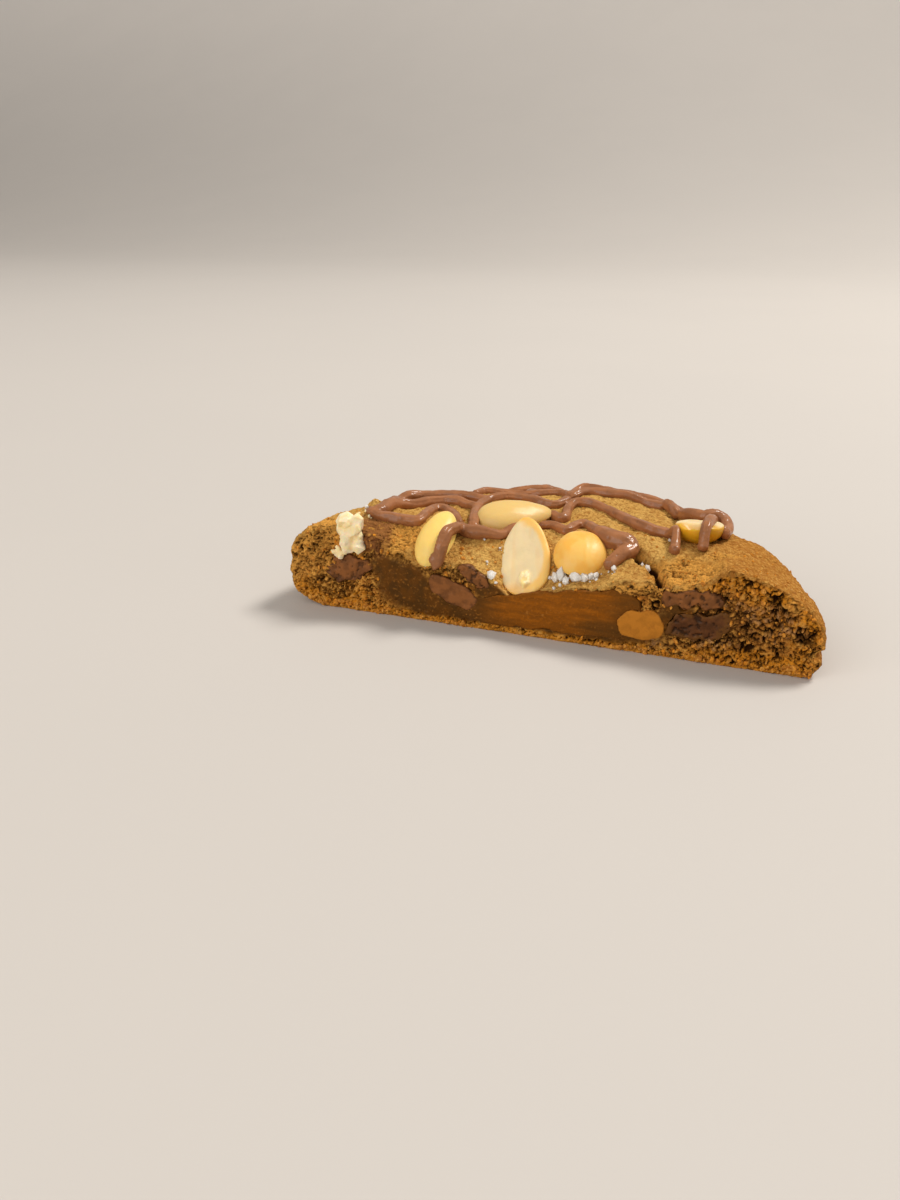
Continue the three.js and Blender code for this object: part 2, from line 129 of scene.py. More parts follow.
# Zones of the cut by the colour of their crumb: middle x and z, and reach in x and z
GOLDEN = [(-49, 12, 8, 12), (-41, 15.5, 8, 4), (-30, 14, 7, 1.8), (15, 14.2, 9, 1.4)]
DARK = [(31, 8, 8.6, 5), (49, 7.4, 2, 1.7), (-33.6, 12.6, 2.4, 2.2), (-12, 11.6, 7, 2.6),
        (25, 3.2, 4, 1.8), (-26, 8, 8, 5), (-44, 5, 5, 2.2)]
RUSTY = [(33, 16.6, 9, 2), (-44, 3, 9, 3), (41, 2, 12, 2), (43, 15.6, 5, 2.4), (49.5, 10, 2.6, 7),
         (38, 0.6, 15, 1.2), (-8, 0.8, 44, 1.8)]
PALE = [(34, 4.2, 4.2, 1.6), (22.6, 2.4, 1.6, 1.4), (44, 9.5, 5, 3), (38, 11.5, 4, 1.4)]

# The crust round the crack, as such patches
CRACKED = [(22, 5.5, 4, 5)]

# What the colours of the dough and of the peanuts follow, kept at each point of their meshes
MASKS = ("baked", "pore_shade", "moist", "tone", "inner", "golden", "dark", "rusty", "pale", "smear")
NUT_MASKS = ("flat", "germ", "line", "along", "side", "rim", "roast_and_shade")

# Where the chocolate was smeared over the crust: middle x and y, and reach in x and y
SMEAR = [(-35.5, 4.6, 4.4, 5.4), (-34.4, 1.2, 3, 2.4)]

# Each split peanut by the two ends of its length, the way its rounded back faces, width, thickness, how
# far it tapers to its tip, and its roast: 0 blanched, 1 golden and 2 yellow, while -1 is a dull, darker
# colour that is painted shade. One shows its germ, and one its two lobes.
PEANUTS = {
    "peanut_standing": dict(
        base=(-2.6, 0.3, 9), tip=(-5.8, 11.7, 21.2), back=(0.09, 0.7, -0.7),
        width=10.2, thick=4.4, taper=0.22, roast_and_shade=0.6, germ=True),
    "peanut_left": dict(
        base=(-22.6, 0.6, 11.4), tip=(-21.7, 12, 19.1), back=(-0.1, -0.5, 0.8),
        width=7.8, thick=4.3, taper=0.1, roast_and_shade=0),
    # its dull colour is painted shade
    "peanut_behind": dict(
        base=(-16.6, 13.9, 16.8), tip=(-3, 22.6, 17.8), back=(0, -0.2, 1),
        width=9.8, thick=4.3, taper=0.28, roast_and_shade=-1),
    "peanut_round": dict(
        base=(7.6, 3.4, 12.2), tip=(5.5, 13.2, 17.4), back=(0.1, -0.5, 0.8),
        width=10.4, thick=4.4, taper=0.05, roast_and_shade=1),
    "peanut_right": dict(
        base=(27, 13.9, 22.7), tip=(28.2, 23.6, 21.1), back=(0, -0.5, -1),
        width=9.4, thick=4.9, taper=0.02, roast_and_shade=2, lobes=True),
    "peanut_rear_1": dict(
        base=(21.4, 45.4, 10.9), tip=(10, 49.2, 10.6), back=(0.3, 0.9, 0.3),
        width=8.8, thick=4, taper=0.16, roast_and_shade=0.8),
    "peanut_rear_2": dict(
        base=(-6, 49.8, 10.4), tip=(-17.8, 47, 10.8), back=(-0.2, 0.9, 0.3),
        width=9.2, thick=4, taper=0.1, roast_and_shade=0.3),
    "peanut_rear_3": dict(
        base=(-34.8, 36.8, 11), tip=(-42, 28, 11.2), back=(-0.7, 0.6, 0.3),
        width=8.6, thick=4, taper=0.2, roast_and_shade=0.9),
}

# The crushed ones in the same way, with their number of plates, and place and size of stray splinters
CRUSHED = {
    "crushed_peanut_1": dict(
        base=(-39.6, 0.8, 12.8), tip=(-38.6, 2, 21.4), back=(0, -1, 0.2), width=7.6, thick=4.2, plates=17,
        splinters=[(-41.4, 9.6, 0.7), (-40.3, 10.6, 0.5), (-38.4, 8.2, 0.6), (-37.6, 7.5, 0.4),
                   (-40, 8.8, 0.4)]),
    "crushed_peanut_2": dict(
        base=(-43.2, 0.6, 12.7), tip=(-40, 0.5, 12.9), back=(0, -1, 0), width=3, thick=2.4, plates=5,
        splinters=[]),
}

# The drizzle's strands, by their places in plan and thickness, with the height where they hang free
STRANDS = [
    [(-37.8, 9.3, 2.4), (-36.8, 10.8, 2.8), (-36.6, 14.4, 3.1), (-35.8, 17.2, 3), (-34.2, 19, 2.8),
     (-32.3, 20.3, 2.7), (-30.8, 21.9, 2.6), (-28.9, 23, 2.6), (-27.1, 24, 2.5), (-24.7, 24, 2.5),
     (-22.6, 23.3, 2.4), (-20.4, 22.4, 2.4), (-18.5, 21, 2.4)],
    [(-36.9, 14.6, 2.6), (-37.1, 17.7, 2.7), (-37, 21, 2.7), (-35.7, 23.4, 2.7, 18.6),
     (-33.1, 25.7, 2.6, 18.3), (-30.1, 27.2, 2.6, 18), (-27.2, 27.3, 2.5, 18), (-24.7, 27.5, 2.4),
     (-22.6, 27.6, 2.3), (-20.4, 27.4, 2.3), (-18.5, 27.4, 2.3)],
    [(-39.7, 10.6, 2), (-38.1, 9.5, 2.3), (-35.9, 8.2, 2.3), (-33.7, 8.1, 2.5), (-31.3, 7.8, 2.5),
     (-28.7, 7.1, 2.4), (-27, 7.3, 2.3), (-26.7, 9.5, 2.2), (-27.4, 13, 2.1), (-27.6, 16.4, 2.1),
     (-27.1, 18.6, 2), (-25.9, 18.8, 2), (-23.7, 17.1, 2.2), (-21.7, 14.7, 2.2), (-20, 11.8, 2.2),
     (-18.9, 10, 2.3)],
    [(-18.6, 9.9, 2.4), (-18.7, 6.5, 2.5), (-19.2, 3.9, 2.5, 18.7), (-19.4, 2.2, 2.6, 17.9),
     (-19.5, 1.1, 2.6, 16.8), (-19.7, 0.6, 2.6, 15.4), (-20.2, 0.5, 2.6, 13.8), (-20.7, 0.2, 2.5, 12.4),
     (-21, 0.3, 2.3, 11.7)],
    [(-19.3, 10, 2.4), (-17.5, 9.1, 2.9), (-15.4, 9, 3.1), (-13.4, 9.3, 3), (-11.7, 9.7, 2.7),
     (-10.1, 9.9, 2.3), (-9.2, 11, 2.2), (-8.1, 12.4, 2.2), (-6, 14.2, 2.1), (-4, 15.4, 2.1)],
    [(-4, 15.4, 2), (-2, 16, 2), (-0.2, 15.4, 2.1), (1.7, 13.9, 2.2), (2.5, 13.8, 2.2),
     (3.1, 14.8, 2.2), (3.5, 17, 2.2), (4.6, 18.4, 2.2), (6, 17.4, 2.2), (7.6, 15.2, 2.3),
     (9, 13.7, 3.1), (10.5, 12.3, 3.8), (12.2, 11.1, 4.2), (13.7, 10.8, 4.3), (15.2, 10.4, 4),
     (16.1, 9.7, 3.5), (15.7, 8.6, 3.2), (14.6, 7.3, 3), (13.7, 6.1, 2.8), (13.1, 5.1, 2.8),
     (12.9, 4.3, 2.8)],
    [(-16, 9.9, 2.2), (-16.6, 12.1, 2.2), (-17.6, 15.1, 2.2), (-18.8, 20.5, 2.2), (-19, 25.3, 2.2),
     (-18.2, 28, 2.2), (-16.5, 29.8, 2.2), (-14.2, 31, 2.2), (-11.4, 31, 2.3), (-8.9, 29.8, 2.3),
     (-6.7, 28.6, 2.3), (-5, 28, 2.2), (-3.6, 28.2, 2.2), (-2.4, 29.8, 2.2), (-1.6, 32.2, 2.2)],
    [(-22.9, 30.4, 1.9), (-22.3, 33, 2), (-21, 34.6, 2), (-18.1, 35.5, 2), (-15.1, 36.3, 2),
     (-11.6, 36.8, 2), (-9.2, 37.1, 2), (-7.4, 37.8, 2), (-4.9, 37.5, 2, 18.6),
     (-3.2, 36.2, 2), (-1.4, 33.2, 2.2)],
    [(-1.6, 33.8, 2.2), (-1.2, 37.5, 2.2, 19.4), (0, 39.5, 2.3, 19.8), (1.3, 39.8, 2.3, 19.9),
     (3.2, 39.5, 2.3, 19.8), (5.5, 39, 2.2, 19.4), (8.6, 39, 2.1, 19.5), (11.3, 39, 2.1, 19.3),
     (13.7, 39, 2.1, 18.9), (16.4, 39, 2.1, 18.4), (18, 38.3, 2.1)],
    [(-1.4, 32.5, 2.2), (-0.2, 35.3, 2.2), (1.9, 36.9, 2.2), (4.1, 37.1, 2.2), (6.8, 37.2, 2.3),
     (9.5, 37.3, 2.3), (12, 37.2, 2.3), (14.4, 36.9, 2.2), (17, 36.3, 2.2), (18.6, 36, 2.2)],
    [(18, 38, 2.2), (19, 36, 2.4, 19), (20.4, 34, 2.5, 18.8), (21.6, 30.8, 2.4, 18.8), (22.4, 30, 2.2)],
    [(-3, 22.8, 2.2), (-1.7, 21.6, 2.5), (-0.3, 21, 2.6), (0.1, 22.6, 2.4), (-0.4, 25.2, 2.2),
     (-0.4, 27.6, 2.2), (0.2, 29.5, 2.2), (2.1, 30.2, 2.2),
     (5.2, 29.4, 2.2), (8.2, 27.1, 2.3), (11.5, 24, 2.4), (15.2, 20, 2.5), (18.1, 18, 2.5),
     (20.2, 17.8, 2.5), (22.1, 17.3, 2.4), (23.5, 15.6, 1.9, 20.4), (23.9, 14, 1.7, 19.9),
     (24.1, 12.4, 1.8, 18.8), (24.1, 10.9, 2.4), (24, 10, 2.8)],
    [(22.3, 30.5, 2.3, 18.7), (23.9, 28, 2.5, 19.8), (25.2, 26.5, 2.5, 20.4), (26.5, 25.6, 2.6, 20.5),
     (27.6, 25, 2.6, 20.6), (28.5, 25, 2.8, 20.8), (29.6, 25.5, 2.9, 20.9), (30.8, 25.5, 2.9, 20.6),
     (32, 24.5, 2.7, 20), (32.6, 22, 2.6, 19.4), (32.6, 19.6, 2.5, 19.2), (32.2, 17.8, 2.3, 19.1)],
    [(29.7, 24, 2.4), (29.5, 20.3, 2.3), (29.4, 16.5, 2.3), (29.3, 14, 2, 21.6), (29.2, 13, 1.9, 20.4),
     (29.2, 12.4, 2, 19), (29.1, 11.6, 2.6)],
    [(-36, 27, 2.2), (-31.5, 35, 2.2), (-22, 43.5, 2.3), (-12, 48.4, 2.3), (-1, 50, 2.3), (9, 49.4, 2.3),
     (18, 46, 2.3), (24.6, 42, 2.2), (28.3, 36, 2.2), (29.2, 30, 2.3), (30.4, 26, 2.3)],
    [(-10, 37, 2.1), (-13, 42, 2.2), (-13.5, 46.5, 2.3), (-9.5, 50.8, 2.4)],
    [(9.5, 38, 2.2), (13.5, 43, 2.2), (12, 48, 2.3), (14.5, 50.4, 2.5)],
]

# The larger salt flakes, by place in plan and size
FLAKES = [(4.2, 3.4, 2.8), (3, 3.6, 2), (5.3, 2.3, 1.5), (7.2, 2.9, 2.1), (8.6, 3.3, 1.9), (9.8, 3.6, 1.4),
          (10.9, 3.6, 1.3), (14, 4.2, 1.1), (19.9, 6.6, 1.3), (-23, 0.9, 1.5), (-11, 3.9, 0.5),
          (-9.2, 1.3, 1.6), (-13, 8.2, 0.5), (-9.4, 7.2, 0.5), (22.6, 15.3, 0.7), (-40.6, 11.8, 0.9),
          (-10, 25, 0.6)]


# Sizes and colours that a user may change

def length(name, description, default):
    return bpy.props.FloatProperty(
        name=name, description=description, default=default, min=0, unit="LENGTH", precision=5
    )


def colour(name, description, default):
    return bpy.props.FloatVectorProperty(
        name=name, description=description, default=default, min=0, max=1, size=3, subtype="COLOR"
    )


class CookieSizes(bpy.types.PropertyGroup):
    """Sizes of the cookie's finish"""

    crumb_grid: length("Crumb grid", "Spacing of the dough's mesh before the cut is refined", 0.0008)
    pore_depth: length("Pore depth", "How deep the pores of the torn crumb are", 0.0017)
    grain: length("Crust grain", "Height of the grain of the crust", 0.00024)
    strand: length("Strand", "Usual thickness of the chocolate drizzle", 0.002)
    crumb: length("Crumb", "Size of the loose crumbs", 0.0008)


class CookieColours(bpy.types.PropertyGroup):
    """Colours of the cookie's finishes"""

    crust: colour("Crust", "Golden crust of the crown", (0.645, 0.375, 0.1))
    tan: colour("Tan crust", "Smooth crust of the shoulder", (0.465, 0.2, 0.036))
    # also painted shade between the crust's grains and at the edge and in the pits of the chip
    rim: colour("Rim", "Browned edge and base", (0.3, 0.1, 0.014))
    crumb: colour("Crumb", "Grains of the torn crumb", (0.43, 0.162, 0.025))
    golden: colour("Golden crumb", "Crumb near the crust and at the left end", (0.7, 0.335, 0.065))
    rusty: colour("Rusty crumb", "Browned crumb under the right crust and at the base", (0.72, 0.26, 0.016))
    pale: colour("Pale crumb", "Dry crumb beside the melted chocolate", (0.5, 0.26, 0.11))
    # painted shade: the dark that fills the pores, gaps and crack of the torn crumb
    pore_shade: colour("Pore", "Depth of the pores", (0.035, 0.011, 0.002))
    moist: colour("Moist dough", "Dough that is soaked by the filling", (0.078, 0.03, 0.005))
    caramel: colour("Caramel", "Caramel filling", (0.26, 0.074, 0.003))
    chunk: colour("Chocolate chunk", "Milk chocolate at the cut", (0.16, 0.055, 0.013))
    drizzle: colour("Drizzle", "Milk chocolate of the drizzle", (0.28, 0.105, 0.035))
    melted: colour("Melted chocolate", "Dark chocolate that soaked in", (0.07, 0.023, 0.006))
    chip: colour("Chip", "Peanut butter chip", (0.49, 0.18, 0.02))
    peanut: colour("Peanut", "Rounded back of a peanut", (0.88, 0.52, 0.12))
    kernel: colour("Kernel", "Flat, split face of a peanut", (0.85, 0.67, 0.375))
    floor: colour("Floor", "Pale floor and backdrop", (0.56, 0.52, 0.475))


# Small functions

def lerp(low, high, share):
    return low + (high - low) * share


def smoothstep(value, low, high):
    share = min(1.0, max(0.0, (value - low) / (high - low)))
    return share * share * (3 - 2 * share)


def bell(x, y, middle_x, middle_y, reach_x, reach_y):
    return math.exp(-(((x - middle_x) / reach_x) ** 2) - ((y - middle_y) / reach_y) ** 2)


def toned(tint, *factors):
    """A colour times one factor, or times one for each of its channels"""
    factors = factors if len(factors) > 1 else factors * 3
    return [min(1, value * factor) for value, factor in zip(tint, factors)]


def eased(points, x):
    if x <= points[0][0]:
        return points[0][1]
    for (x0, y0), (x1, y1) in zip(points, points[1:]):
        if x < x1:
            return lerp(y0, y1, smoothstep(x, x0, x1))
    return points[-1][1]


def off_route(route, x, y):
    """How far a place in plan lies off a route"""
    place = Vector((x, y))
    nearest = math.inf
    for a, b in zip(route, route[1:]):
        start, step = Vector(a), Vector(b) - Vector(a)
        share = min(1.0, max(0.0, (place - start).dot(step) / step.length_squared))
        nearest = min(nearest, (place - start - step * share).length)
    return nearest


def patches(x, y, middles, low=1.25, high=0.7):
    """1 well inside any of the round patches, 0 outside them all"""
    return max(
        smoothstep(math.hypot((x - cx) / rx, (y - cy) / ry), low, high) for cx, cy, rx, ry in middles
    )


# The cookie's form

def rim_radius(angle):
    waves = 0.004 * math.sin(7 * angle + 2.6) + 0.003 * math.sin(13 * angle)
    return RADIUS * (1 - 0.01 * math.cos(angle) + waves)


def crown(x, y):
    """The height of the baked top at a place in plan"""
    angle = abs(math.atan2(y, x))
    out = min(1.0, math.hypot(x, y) / rim_radius(math.atan2(y, x)))
    broken = smoothstep(angle, math.radians(150), math.radians(178))
    dome = (CROWN - WIDEST) * math.sqrt(1 - out ** lerp(SHOULDER, BROKEN_SHOULDER, broken))
    reach = lerp(5, 8, smoothstep(x, -27, -17))
    sag = eased(SAG, x) * math.exp(-((y / reach) ** 2)) * min(1, (1 - out) / 0.03)
    slope = 1.3 * bell(x, y, -53, 2, 9, 14) * (1 - out**40)
    bumps = sum(height * bell(x, y, *place) for height, *place in BUMPS)
    waves = 0.3 * math.sin(x / 4.1 + 1) * math.sin(y / 5.3 + 0.6)
    return WIDEST + dome - sag - slope + (bumps + waves) * (1 - smoothstep(out, 0.85, 0.97))


def crack_depth(x, y):
    """How far the crust has split open at a place in plan"""
    wander = noise.noise_vector(Vector((x, y, 3)) / 2) + 0.5 * noise.noise_vector(Vector((x, y, 7)) / 0.7)
    split = off_route(CRACK, x + 0.9 * wander.x, y + 0.9 * wander.y) / CRACK_WIDTH
    return CRACK_DEPTH * math.exp(-(split**2.6)) * (1 + 0.4 * wander.z)


def on_dough(point):
    """Where a point of a ball of radius 1 comes to lie on the whole cookie"""
    CROWN_TURN = 0.58  # share of the turn from pole to pole that covers the crown
    FOOT_TURN = 0.72  # the share at which the side reaches the base
    angle = math.atan2(point.y, point.x)
    turn = math.acos(max(-1.0, min(1.0, point.z))) / math.pi
    x, y = rim_radius(angle) * math.cos(angle), rim_radius(angle) * math.sin(angle)
    if turn < CROWN_TURN:
        share = 1 - (1 - turn / CROWN_TURN) ** 1.5
        return Vector((x * share, y * share, crown(x * share, y * share)))
    bend = min(1.0, (turn - CROWN_TURN) / (FOOT_TURN - CROWN_TURN)) * math.pi / 2
    foot = lerp(FOOT, BROKEN_FOOT, smoothstep(-x, 44, 52))
    share = 1 - foot / RADIUS * (1 - math.cos(bend))
    share *= min(1.0, (1 - turn) / (1 - FOOT_TURN))
    return Vector((x * share, y * share, WIDEST * (1 - math.sin(bend))))


def ragged(inset, x, z):
    """How far an inset's outline strays from its plain form at a place on the cut"""
    stray = noise.noise_vector(Vector((x / 2.2, inset["at"][0], z / 2.2)))
    return stray.x * inset["stray"], stray.z * inset["stray"]


def inset_share(inset, x, z):
    """How far out a place on the cut lies in an inset's outline: 0 at its middle, 1 on its edge"""
    tilt = math.radians(inset["tilt"])
    stray_x, stray_z = ragged(inset, x, z)
    dx, dz = x - stray_x - inset["at"][0], z - stray_z - inset["at"][2]
    right = dx * math.cos(tilt) + dz * math.sin(tilt)
    tall = inset["half"][2] * max(0.2, 1 + inset["widen"] * right)
    along = abs(right) / inset["half"][0]
    up = abs(dz * math.cos(tilt) - dx * math.sin(tilt)) / tall
    return (along ** inset["square"] + up ** inset["square"]) ** (1 / inset["square"])


# Modelling steps

def mode(name):
    bpy.ops.object.mode_set(mode=name)


def deselect_all():
    if bpy.context.mode != "OBJECT":
        mode("OBJECT")
    bpy.ops.object.select_all(action="DESELECT")


def named(name):
    piece = bpy.context.object
    piece.name = piece.data.name = name
    return piece


def activate(piece):
    deselect_all()
    piece.select_set(True)
    bpy.context.view_layer.objects.active = piece


def linked(name, data):
    """A new object in the scene"""
    piece = bpy.data.objects.new(name, data)
    bpy.context.scene.collection.objects.link(piece)
    return piece


def reshape(piece, shape):
    for vertex in piece.data.vertices:
        vertex.co = shape(vertex.co)


def shape_points(piece, masks, shape):
    """Moves each point to where shape puts it, and stores the values that shape gives with it as masks"""
    results = [shape(vertex.co.copy(), vertex.normal.copy()) for vertex in piece.data.vertices]
    for vertex, (place, *_) in zip(piece.data.vertices, results):
        vertex.co = place
    for index, name in enumerate(masks):
        layer = piece.data.attributes.new(name, "FLOAT", "POINT")
        layer.data.foreach_set("value", [result[index + 1] for result in results])


def apply_modifier(piece, kind, **settings):
    activate(piece)
    modifier = piece.modifiers.new(kind.title(), kind)
    for name, value in settings.items():
        setattr(modifier, name, value)
    bpy.ops.object.modifier_apply(modifier=modifier.name)


def remesh(piece, grid):
    apply_modifier(piece, "REMESH", mode="VOXEL", voxel_size=grid, adaptivity=0)


def smooth(piece, rounds):
    apply_modifier(piece, "SMOOTH", iterations=rounds, factor=0.5)


def cut_off(piece):
    """Takes away all that lies ahead of the cut, and closes the cut"""
    activate(piece)
    mode("EDIT")
    bpy.ops.mesh.select_all(action="SELECT")
    bpy.ops.mesh.bisect(plane_co=(0, CUT_BACK, 0), plane_no=(0, -1, 0), use_fill=True, clear_outer=True)
    mode("OBJECT")


def refine(piece, wanted):
    """Subdivides the faces whose middle and normal pass a test"""
    activate(piece)
    mode("EDIT")
    bpy.ops.mesh.select_mode(type="FACE")
    bpy.ops.mesh.select_all(action="DESELECT")
    mode("OBJECT")
    for polygon in piece.data.polygons:
        polygon.select = wanted(polygon.center, polygon.normal)
    mode("EDIT")
    bpy.ops.mesh.subdivide(number_cuts=1)
    mode("OBJECT")


def join(name, pieces):
    deselect_all()
    for piece in pieces:
        piece.select_set(True)
    bpy.context.view_layer.objects.active = pieces[0]
    bpy.ops.object.join()
    return named(name)


def settle(piece, material, slot, node):
    """Scales and moves a finished mesh into the frame in place of its CAD node. The slot is not used."""
    piece.data.transform(Matrix.Scale(MM, 4) @ Matrix.Translation(PLACE))
    piece.data.materials.clear()
    piece.data.materials.append(material)
    activate(piece)
    bpy.ops.object.shade_smooth()
    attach(piece, "root")
    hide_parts(node)


# Nodes of the materials. Their sizes are in millimetres.

# The inputs of the Principled shader that are used
SOCKETS = {
    "colour": "Base Color",
    "roughness": "Roughness",
    "normal": "Normal",
    "specular": "Specular IOR Level",
    "glint": "Specular Tint",
    "coat": "Coat Weight",
    "coat_roughness": "Coat Roughness",
    "ior": "IOR",
    "clear": "Transmission Weight",
    "glow": "Subsurface Weight",
    "glow_radius": "Subsurface Radius",
    "glow_scale": "Subsurface Scale",
}


class Bench:
    """Adds nodes to a tree. An input takes a value or another node's output."""

    def __init__(self, tree):
        self.tree = tree

    def put(self, socket, value):
        if isinstance(value, bpy.types.NodeSocket):
            self.tree.links.new(value, socket)
        elif socket.type == "RGBA":
            socket.default_value = (*value, 1)
        else:
            socket.default_value = value

    def add(self, kind, inputs=None, **settings):
        node = self.tree.nodes.new(kind)
        for name, value in settings.items():
            setattr(node, name, value)
        for key, value in (inputs or {}).items():
            self.put(node.inputs[key], value)
        return node

    def vector(self, operation, a, b):
        """Adds to, takes from or scales a vector"""
        inputs = {0: a, "Scale" if operation == "SCALE" else 1: b}
        return self.add("ShaderNodeVectorMath", inputs, operation=operation).outputs[0]

    def span(self, value, low, high):
        inputs = {"Value": value, "From Min": low, "From Max": high}
        return self.add("ShaderNodeMapRange", inputs, interpolation_type="SMOOTHSTEP").outputs[0]

    def math(self, operation, a, b):
        return self.add("ShaderNodeMath", {0: a, 1: b}, operation=operation).outputs[0]

    def mix(self, share, low, high):
        return self.add("ShaderNodeMix", {0: share, 6: low, 7: high}, data_type="RGBA").outputs[2]

    def layers(self, shade, *layers):
        """Lays colours over a shade one by one, each where its mask is, and no more than its share"""
        for mask, share, tint in layers:
            shade = self.mix(mask if share == 1 else self.math("MULTIPLY", mask, share), shade, tint)
        return shade


def new_group(name, inputs, output, kind):
    tree = bpy.data.node_groups.new(name, "ShaderNodeTree")
    for socket, socket_kind in inputs.items():
        tree.interface.new_socket(socket, in_out="INPUT", socket_type=socket_kind)
    tree.interface.new_socket(output, in_out="OUTPUT", socket_type=kind)
    return tree, tree.nodes.new("NodeGroupInput").outputs, tree.nodes.new("NodeGroupOutput").inputs[0]


def millimetres_group():
    """Object coordinates in millimetres, from the origin of the shapes"""
    NAME = "cookie millimetres"
    if NAME in bpy.data.node_groups:
        return bpy.data.node_groups[NAME]
    tree, _, end = new_group(NAME, {}, "Place", "NodeSocketVector")
    bench = Bench(tree)
    place = bench.add("ShaderNodeTexCoord").outputs["Object"]
    bench.put(end, bench.vector("SCALE", bench.vector("SUBTRACT", place, PLACE * MM), 1 / MM))
    return tree


def blotch_group():
    """Soft blotches of a size, from 0 to 1"""
    NAME = "cookie blotches"
    if NAME in bpy.data.node_groups:
        return bpy.data.node_groups[NAME]
    number = "NodeSocketFloat"
    inputs = {"Place": "NodeSocketVector", "Size": number, "Low": number, "High": number}
    tree, start, end = new_group(NAME, inputs, "Mask", number)
    bench = Bench(tree)
    scale = bench.math("DIVIDE", 1.0, start["Size"])
    pattern = bench.add("ShaderNodeTexNoise", {"Vector": start["Place"], "Scale": scale, "Detail": 3.0})
    bench.put(end, bench.span(pattern.outputs[0], start["Low"], start["High"]))
    return tree


class Finish(Bench):
    """A material with its Principled shader, its place in millimetres and patterns on that"""

    def __init__(self, name):
        self.material = bpy.data.materials.new(name)
        self.material.use_nodes = True
        super().__init__(self.material.node_tree)
        self.place = self.group(millimetres_group())

    def group(self, tree, **inputs):
        return self.add("ShaderNodeGroup", inputs, node_tree=tree).outputs[0]

    def feed(self, **inputs):
        """Links or sets the shader's own sockets, and gives the finished material"""
        shader = self.tree.nodes["Principled BSDF"]
        for name, value in inputs.items():
            self.put(shader.inputs[SOCKETS[name]], value)
        return self.material

    def value_of(self, attribute):
        return self.add("ShaderNodeAttribute", attribute_name=attribute).outputs["Fac"]

    def noise(self, size, detail=3.0, roughness=0.55, place=None):
        place = place or self.place
        inputs = {"Vector": place, "Scale": 1 / size, "Detail": detail, "Roughness": roughness}
        return self.add("ShaderNodeTexNoise", inputs).outputs[0]

    def blotches(self, size, low=0.4, high=0.6, place=None):
        return self.group(blotch_group(), Place=place or self.place, Size=size, Low=low, High=high)

    def axes(self):
        """The place along x, y and z"""
        return self.add("ShaderNodeSeparateXYZ", {0: self.place}).outputs

    def moved(self, **settings):
        """The place, scaled along its axes and then moved"""
        return self.add("ShaderNodeMapping", {"Vector": self.place, **settings}).outputs[0]

    def grains(self, size, stray_size, reach):
        """How far off the middle of its grain a place is, where the grains are bent by a stray"""
        inputs = {"Vector": self.place, "Scale": 1 / stray_size, "Detail": 2.0}
        stray = self.add("ShaderNodeTexNoise", inputs).outputs["Color"]
        stray = self.vector("SCALE", self.vector("SUBTRACT", stray, (0.5, 0.5, 0.5)), reach)
        inputs = {"Vector": self.vector("ADD", self.place, stray), "Scale": 1 / size}
        return self.add("ShaderNodeTexVoronoi", inputs).outputs["Distance"]

    def bump(self, height, distance, strength):
        inputs = {"Height": height, "Distance": distance, "Strength": strength}
        return self.add("ShaderNodeBump", inputs).outputs[0]


# Dough

def crumb_relief(place):
    """How far the torn crumb lies behind the cut, in pore depths, how deep in a gap or pit it is, for the
    painted shade there, and its tone: random per grain, with painted highlight and shade on the fine grain
    """
    flaky = smoothstep(place.x, -25, 15)
    warped = place + 0.8 * noise.noise_vector(place / 2.3) + 0.25 * noise.noise_vector(place / 0.6)
    flat = Vector((warped.x / lerp(1, 1.8, flaky), warped.y, warped.z))
    (near, far, *_), centres = noise.voronoi(flat / lerp(0.7, 0.9, flaky))
    crease = smoothstep(far - near, 0.22, 0.0) * smoothstep(noise.noise(place / 1.7), -0.3, 0.1)
    rift = noise.ridged_multi_fractal(flat / 2.1, 0.7, 2.2, 4, 0.9, 2.0)
    gap = smoothstep(rift, 1.02, 1.3) * smoothstep(noise.noise(place / 3 + Vector((9, 0, 4))), -0.3, 0.15)
    gap *= lerp(0.45, 1, flaky)
    grain = noise.fractal(place / 0.55, 0.5, 2.2, 3)
    # the tone is random per grain, and also follows the fine grain that pushes the crumb forward: painted
    # highlight where it stands out, painted shade where it sinks back
    tone = 0.55 * noise.cell(centres[0] * 9) + 0.9 * grain
    relief = 0.75 * gap + 0.25 * crease + 0.3 * near - 0.3 * grain + 0.45 * noise.noise(place / 3.6)
    # gaps, creases and sunken grains get painted shade
    pore_shade = max(gap, lerp(0.65, 0.75, flaky) * crease, 0.8 * smoothstep(-grain, 0.2, 0.6))
    return relief, pore_shade, tone


